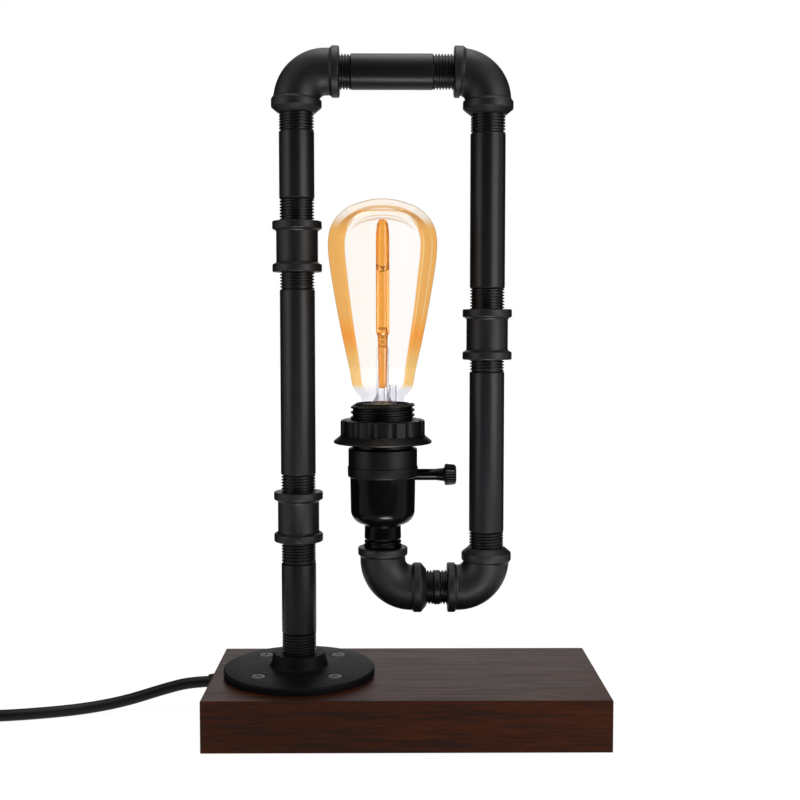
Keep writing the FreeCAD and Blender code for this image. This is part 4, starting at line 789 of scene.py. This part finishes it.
def makeElbow(node, corner, ways, coned):
    # swept from the upright port, round the bend, to the level port
    low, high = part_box(node)
    bend, (x, z), (up, side) = elbow["bend"], corner, ways
    upLength = abs((high[2] if up > 0 else low[2]) - z) - bend
    levelLength = abs((high[0] if side > 0 else low[0]) - x) - bend
    arcLength = bend * math.pi / 2
    total = upLength + arcLength + levelLength

    first = elbowPort(coned == "upright")
    last = [(total - away, *rest) for away, *rest in reversed(elbowPort(coned == "level"))]
    start, run = first[-1][0], last[0][0] - first[-1][0]
    steps = elbow["steps"]
    between = [(start + run * (index + 1) / (steps + 1), elbow["body"]) for index in range(steps)]
    outline = softOutline(first + between + last, 4)

    def ringAt(distance, radius):
        # the centre of the bend is the origin, the upright port points to -z, the level one to +x
        if distance < upLength:
            spot = upright(-bend, distance - upLength)
        elif distance > upLength + arcLength:
            spot = levelled(distance - upLength - arcLength, 0, bend)
        else:
            spot = Matrix.Rotation((distance - upLength) / bend, 4, "Y") @ upright(-bend, 0)
        return spot @ Matrix.Diagonal((radius, radius, 1, 1))

    bm = bmesh.new()
    now = ringAt(*outline[0])
    bmesh.ops.create_circle(bm, cap_ends=True, radius=1.0, segments=elbow["segments"], matrix=now)
    edges = list(bm.edges)
    for point in outline[1:]:
        corners, edges = extrudeEdges(bm, edges)
        after = ringAt(*point)
        bmesh.ops.transform(bm, matrix=after @ now.inverted(), verts=corners)
        now = after
    bmesh.ops.contextual_create(bm, geom=edges)
    angle, axis = elbow["turns"][ways]
    turn = Matrix.Rotation(math.radians(angle), 4, axis)
    finishPiece(bm, "fitting_" + node, elbowBlack, "lamp", node,
                upright(x + side * bend, z + up * bend) @ turn, sharp=42.0)


flange = {
    "radius": 0.0467, "rim": 0.0043, "dome": 0.0054, "hub": 0.0162, "height": 0.0134, "bore": 0.01,
    "holeCircle": 0.0325, "hole": 0.0026, "sink": 0.0056, "sinkDepth": 0.0032, "sinkRise": 0.0002,
}
flangeScrew = {"head": 0.0046, "rise": 0.0003, "under": 0.0005, "slotLong": 0.0054, "slotWide": 0.0008,
               "slotDeep": 0.0018, "slotRise": 0.0004, "turn": 0.5, "turnStep": 1.1}


def makeFlange():
    low, high, centre = measure("floor_flange")
    bore, hub, radius, height = flange["bore"], flange["hub"], flange["radius"], flange["height"]
    bm = bmesh.new()
    spinOutline(bm, [
        (bore, 0.0), (radius - 0.0002, 0.0, 0.0004), (radius, flange["rim"], 0.0012),
        (radius - 0.01, flange["rim"] + 0.0006, 0.02), (hub + 0.0012, flange["dome"], 0.002),
        (hub, height, 0.0011), (bore + 0.0008, height, 0.0003), (bore, height - 0.0008), (bore, 0.0),
    ], 144, 7)
    piece = finishPiece(bm, "fitting_floor_flange", flangeBlack, "lamp", "floor_flange",
                        upright(centre.x, low.z, centre.y))
    bm = bmesh.new()
    across = flange["holeCircle"] / math.sqrt(2)
    depth, rise = flange["sinkDepth"], flange["sinkRise"]
    top = low.z + flange["dome"]
    places = [(centre.x + sx * across, centre.y + sy * across) for sx in (-1, 1) for sy in (-1, 1)]
    for x, y in places:
        bmesh.ops.create_cone(bm, cap_ends=True, segments=40, radius1=flange["hole"], radius2=flange["sink"],
                              depth=depth, matrix=upright(x, top + rise - depth / 2, y))
    cutWith(piece, bm)
    makeFlangeScrews(places, top - flangeScrew["under"])


def makeFlangeScrews(places, top):
    head, rise = flangeScrew["head"], flangeScrew["rise"]
    bm = bmesh.new()
    turns = [flangeScrew["turn"] + flangeScrew["turnStep"] * index for index in range(len(places))]
    for (x, y), turn in zip(places, turns):
        part = bmesh.new()
        spinOutline(part, [
            (0.0, -0.003), (0.0021, -0.003), (head, -0.0003, 0.0002), (head - 0.0002, 0.0, 0.0003),
            (0.002, rise), (0.0, rise * 1.1),
        ], 48)
        bmesh.ops.transform(part, matrix=upright(x, top, y) @ Matrix.Rotation(turn, 4, "Z"), verts=part.verts)
        bm.from_mesh(meshOf(part, "screw"))
    piece = finishPiece(bm, "screws_flange", plain["darkSteel"], "lamp", "flange_screws",
                        Matrix.Identity(4))
    slotTop = top + flangeScrew["slotRise"]
    slot = Matrix.Diagonal((flangeScrew["slotLong"], flangeScrew["slotWide"], flangeScrew["slotDeep"], 1))
    for quarter in (0, math.pi / 2):
        bm = bmesh.new()
        for (x, y), turn in zip(places, turns):
            made = bmesh.ops.create_cube(bm, size=1.0)["verts"]
            turned = Matrix.Rotation(turn + quarter, 4, "Z") @ slot
            bmesh.ops.transform(bm, matrix=upright(x, slotTop, y) @ turned, verts=made)
        cutWith(piece, bm)


# lampholder

holder = {
    "way": 0.005, "bushCollar": 0.0118, "bushHeight": 0.0049, "bushThread": 0.0094,
    "neck": 0.0113, "neckHeight": 0.0096, "cup": 0.02, "cupRadius": 0.0085, "cupWall": 0.0016,
    "belt": 0.0216, "beltHeight": 0.0065, "sleeve": 0.0211, "sleeveHeight": 0.0111, "mouth": 0.0157,
    "root": 0.0184, "skirtGap": 0.0018, "skirtWall": 0.0018,
    "knobHole": 0.0041, "knobHolePlace": 0.019, "knobHoleDepth": 0.016,
}
holderThread = {"pitch": 0.0031, "root": 0.0182, "crest": 0.0196, "from": 0.0003, "free": 0.003,
                "segments": 72}


def makeBush():
    low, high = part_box("reducing_bush")
    length = high[2] - low[2]
    way, collar, root = holder["way"], holder["bushCollar"], holder["bushThread"]
    base = length - holder["bushHeight"]
    bm = bmesh.new()
    spinOutline(bm, [
        (way, 0.0), (root, 0.0), (root, base), (collar - 0.0004, base, 0.0003),
        (collar, base + 0.0014, 0.0005), (collar - 0.0009, base + 0.0026, 0.0004),
        (collar - 0.0002, length - 0.0012, 0.0005), (collar - 0.0014, length, 0.0005), (way, length),
        (way, 0.0),
    ], 72)
    finishPiece(bm, "bush", holderBlack, "lamp", "reducing_bush", upright(socketX, low[2]))


def makeHolderCap():
    low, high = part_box("holder_cap")
    height = high[2] - low[2]
    way, neck, cup, floorZ = (holder[key] for key in ("way", "neck", "cup", "neckHeight"))
    bowl, wall = holder["cupRadius"], holder["cupWall"]
    bm = bmesh.new()
    spinOutline(bm, [
        (way, 0.0), (neck - 0.0004, 0.0, 0.0003), (neck, 0.0012, 0.0006), (neck - 0.0002, floorZ, 0.0012),
        (cup - 0.0004, floorZ, bowl), (cup, height), (cup - wall, height),
        (cup - wall - 0.0004, floorZ + wall, bowl - wall), (way, floorZ + wall), (way, 0.0),
    ], 96, 12)
    piece = finishPiece(bm, "holder_cup", holderBlack, "lamp", "holder_cap",
                        upright(socketX, low[2]))
    cutWith(piece, knobHole())


def knobHole():
    radius = holder["knobHole"]
    place = levelled(socketX + holder["knobHolePlace"], 0, middleOf("switch_knob").z)
    bm = bmesh.new()
    bmesh.ops.create_cone(bm, cap_ends=True, segments=40, radius1=radius, radius2=radius,
                          depth=holder["knobHoleDepth"], matrix=place)
    return bm


def makeHolderBody():
    low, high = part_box("holder_body")
    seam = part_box("holder_cap")[1][2]
    belt, sleeve, root, mouth = (holder[key] for key in ("belt", "sleeve", "root", "mouth"))
    beltTop = seam + holder["beltHeight"]
    shoulder = beltTop + holder["sleeveHeight"]
    skirt = holder["cup"] - holder["skirtGap"]
    inside = skirt - holder["skirtWall"]
    top = high[2]
    bm = bmesh.new()
    spinOutline(bm, [
        (inside, low[2]), (skirt, low[2]), (skirt, seam), (belt - 0.0002, seam, 0.0011),
        (belt, beltTop - 0.0004, 0.0005), (sleeve, beltTop + 0.0003, 0.0002),
        (sleeve, shoulder - 0.0002, 0.0006), (root, shoulder + 0.0004, 0.0004), (root, top - 0.0052, 0.002),
        (root - 0.0008, top - 0.0022, 0.0022), (mouth + 0.0004, top, 0.0006), (mouth, top - 0.0008),
        (mouth, shoulder), (inside, shoulder - 0.001), (inside, low[2]),
    ], 96, 6)
    turns = math.floor((top - shoulder - holderThread["free"]) / holderThread["pitch"])
    addThread(bm, shoulder + holderThread["from"], turns, holderThread)
    piece = finishPiece(bm, "holder_sleeve", holderSatin, "lamp", "holder_body",
                        upright(socketX, 0.0), sharp=30.0)
    cutWith(piece, knobHole())


def pressIn(vert, depth):
    scale = 1 - depth / vert.co.xy.length
    vert.co.x *= scale
    vert.co.y *= scale


shadeRing = {"bore": 0.0199, "skirt": 0.0259, "flange": 0.03015, "flangeThick": 0.0016, "rise": 0.0026,
             "scallops": 14, "scallopRadius": 0.0046, "scallopDepth": 0.0011, "fadeStart": 0.0005,
             "fadeLength": 0.0006, "segments": 392}


def makeShadeRing():
    low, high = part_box("shade_ring")
    height = high[2] - low[2]
    bore, skirt, rim = shadeRing["bore"], shadeRing["skirt"], shadeRing["flange"]
    thick, rise = shadeRing["flangeThick"], shadeRing["rise"]
    base = thick + rise
    bm = bmesh.new()
    spinOutline(bm, [
        (bore, rise), (skirt - 0.0014, rise, 0.001), (rim - 0.0004, 0.0, 0.0003), (rim, thick * 0.8, 0.0006),
        (skirt + 0.0006, base, 0.0009), (skirt, base + 0.0008, 0.0004), (skirt, height * 0.6),
        (skirt, height - 0.0008, 0.001), (skirt - 0.0022, height, 0.0006), (bore + 0.0006, height, 0.0003),
        (bore, height - 0.0006), (bore, rise),
    ], shadeRing["segments"], 6)
    cutter, step = shadeRing["scallopRadius"], 2 * math.pi / shadeRing["scallops"]
    reach = skirt + cutter - shadeRing["scallopDepth"]
    for vert in bm.verts:
        above = vert.co.z - base - shadeRing["fadeStart"]
        turn = (math.atan2(vert.co.y, vert.co.x) + step / 2) % step - step / 2
        across = reach * math.sin(turn)
        if abs(across) < cutter and above > 0 and vert.co.xy.length > skirt - 0.003:
            inner = reach * math.cos(turn) - math.sqrt(cutter ** 2 - across ** 2)
            pressIn(vert, max(0.0, skirt - inner) * min(1.0, above / shadeRing["fadeLength"]))
    finishPiece(bm, "shade_ring_grip", holderSatin, "shade_ring", "shade_ring",
                upright(socketX, low[2]), sharp=24.0)


knob = {"stem": 0.00355, "head": 0.00665, "tip": 0.0061, "headLength": 0.007, "ribs": 22, "ribDip": 0.0008,
        "segments": 240}


def makeKnob():
    low, high, middle = measure("switch_knob")
    length = high.x - low.x
    stalk, head, tip, neckEnd = knob["stem"], knob["head"], knob["tip"], length - knob["headLength"]
    bm = bmesh.new()
    spinOutline(bm, [
        (0.0, 0.0), (stalk, 0.0, 0.0003), (stalk, neckEnd - 0.0055, 0.01),
        (stalk + 0.0006, neckEnd - 0.0004, 0.0006), (head - 0.0006, neckEnd, 0.0005),
        (head, neckEnd + 0.0009, 0.0004), (tip, length - 0.0008, 0.0007), (tip - 0.0012, length, 0.0004),
        (0.0, length),
    ], knob["segments"], 6)
    for vert in bm.verts:
        if vert.co.xy.length > tip - 0.0016 and vert.co.z > neckEnd + 0.0003:
            wave = abs(math.sin(math.atan2(vert.co.y, vert.co.x) * knob["ribs"] / 2))
            pressIn(vert, knob["ribDip"] * (1 - wave))
    finishPiece(bm, "knob_grip", holderBlack, "knob", "switch_knob",
                levelled(low.x, middle.y, middle.z), sharp=34.0)


# bulb

bulb = {
    "outline": [(0.013, -0.004), (0.013, 0.003), (0.0141, 0.0052), (0.0164, 0.0078), (0.0181, 0.0106),
                (0.019, 0.014), (0.0204, 0.0223), (0.0247, 0.0418), (0.0284, 0.0612), (0.0316, 0.0806),
                (0.0328, 0.09), (0.03315, 0.098), (0.0324, 0.1047), (0.0307, 0.1095), (0.0274, 0.1143),
                (0.0218, 0.1191), (0.0154, 0.12185), (0.0078, 0.124), (0.0, 0.1247)],
    "perSpan": 5,
}
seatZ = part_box("bulb_cap")[1][2]


def smoothCurve(points, perSpan):
    # a smooth line through the points, with its far end on the axis
    result = []
    ends = [points[0] * 2 - points[1]] + points + [Vector((-points[-2].x, points[-2].y))]
    for before, start, end, after in zip(ends, ends[1:], ends[2:], ends[3:]):
        for step in range(perSpan):
            share = step / perSpan
            bent = (before * 2 - start * 5 + end * 4 - after) * share ** 2
            twice = (start * 3 - before - end * 3 + after) * share ** 3
            result.append((start * 2 + (end - before) * share + bent + twice) / 2)
    return result + [points[-1]]


def makeBulbGlass():
    bm = bmesh.new()
    spinOutline(bm, smoothCurve([Vector(point) for point in bulb["outline"]], bulb["perSpan"]), 96)
    finishPiece(bm, "bulb_envelope", bulbGlassFinish(seatZ), "bulb", "bulb_glass",
                upright(socketX, seatZ), sharp=60.0)


stem = {"column": 0.0041, "slim": 0.0031, "slimFoot": 0.0024, "slimTop": 0.042, "top": 0.1126,
        "foot": 0.01, "columnTint": (0.934, 0.62, 0.262), "clearTint": (0.955, 0.95, 0.96),
        "sleeve": 0.0038, "sleeveHeight": 0.035, "tube": 0.0022, "tubeLength": 0.014, "tubeShift": 0.0062,
        "tubeMiddle": 0.005}


def makeBulbStem():
    column, waist, top, foot = stem["column"], stem["slimTop"], stem["top"], stem["foot"]
    bm = bmesh.new()
    spinOutline(bm, [
        (0.0, foot), (stem["slimFoot"], foot, 0.0008), (stem["slim"], waist, 0.004),
        (column, waist + 0.002, 0.004), (column, top - 0.01, 0.02), (column * 0.84, top - 0.0036, 0.006),
        (column * 0.60, top - 0.0006, 0.002), (0.0, top),
    ], 48, 8)
    finishPiece(bm, "bulb_column", tubeGlassFinish("columnAmber", stem["columnTint"]), "bulb", "bulb_stem",
                upright(socketX, seatZ), sharp=60.0)
    bm = bmesh.new()
    sleeve, height, tube = stem["sleeve"], stem["sleeveHeight"], stem["tube"]
    spinOutline(bm, [
        (0.0114, -0.0038), (0.0122, -0.003, 0.0004), (0.006, 0.002, 0.004), (sleeve, 0.0055, 0.006),
        (sleeve, height, 0.0004), (sleeve - 0.0005, height),
    ], 48, 8)
    made = bmesh.ops.create_cone(bm, cap_ends=True, segments=28, radius1=tube, radius2=tube,
                                 depth=stem["tubeLength"],
                                 matrix=upright(stem["tubeShift"], stem["tubeMiddle"]))["verts"]
    tip = [vert for vert in made if vert.co.z > stem["tubeMiddle"]]
    bmesh.ops.bevel(bm, geom=tip, offset=0.0004, segments=2, profile=0.5, affect="VERTICES", material=-1)
    finishPiece(bm, "bulb_pinch", tubeGlassFinish("pinchClear", stem["clearTint"]), "bulb", None,
                upright(socketX, seatZ), sharp=60.0)


supportWire = {
    "radius": 0.00018, "front": 0.0045, "wobble": 0.0004,
    "across": [(-0.0037, 0.0863), (-0.0033, 0.0838), (-0.0028, 0.0815)],
    "upper": [(-0.0041, 0.0847), (-0.0012, 0.0842), (-0.0001, 0.0826), (0.0013, 0.085), (-0.0012, 0.0815),
              (0.0013, 0.0809), (0.0028, 0.0817), (0.0041, 0.0842)],
    "lower": [(-0.0028, 0.0464), (-0.0001, 0.0474), (0.0004, 0.0454), (0.0022, 0.0468), (0.0031, 0.0446),
              (0.0013, 0.0424), (-0.0006, 0.041), (0.0013, 0.04), (0.0026, 0.0424), (0.0031, 0.0382),
              (0.0008, 0.0393), (-0.001, 0.037), (-0.0027, 0.0361), (-0.0005, 0.0356), (0.0031, 0.0352)],
    "tail": [(0.0009, -0.001, height) for height in (0.0012, 0.0048, 0.0084, 0.012)],
}


def makeSupportWires():
    # bent wires that tie the rods to the column, front and back
    front, wobble = supportWire["front"], supportWire["wobble"]
    routes = [supportWire["tail"]]
    for side in (-1, 1):
        for name in ("across", "upper", "lower"):
            routes.append([(-side * x, side * (front - wobble * (step % 2)), z)
                           for step, (x, z) in enumerate(supportWire[name])])
    bm = bmesh.new()
    for route in routes:
        wire = splineCurve("wire", route, supportWire["radius"], roundness=2)
        bm.from_mesh(bakedMesh(wire))
        bpy.data.objects.remove(wire)
    finishPiece(bm, "bulb_wires", plain["wireMetal"], "bulb", "support_wires",
                upright(socketX, seatZ), sharp=60.0)


def dressNodes():
    dress(wood, ["base_block"])
    dress(rubber, ["cord_grommet", "plug_body", "foot_pads", "cord_inside"])
    for name, look in plainLooks.items():
        dress(plain[name], look[3])


# assembly

bpy.context.scene.view_settings.view_transform = "Standard"
makeCamera()
makeLights()
makeStage()
makeScreens()
makeCord()
print("camera, stage and cord made")

for name in ("stem_lower", "stem_middle", "stem_upper", "top_run", "drop_upper", "drop_lower",
             "close_nipple"):
    makePipe(name)
for name in ("coupling_lower", "coupling_upper", "coupling_right"):
    makeCoupling(name)
for name, details in elbow["places"].items():
    makeElbow(name, *details)
makeFlange()
print("pipe loop made")

makeBush()
makeHolderCap()
makeHolderBody()
makeShadeRing()
makeKnob()
print("lampholder made")

makeBulbGlass()
makeBulbStem()
makeSupportWires()
dressNodes()
print("bulb made")
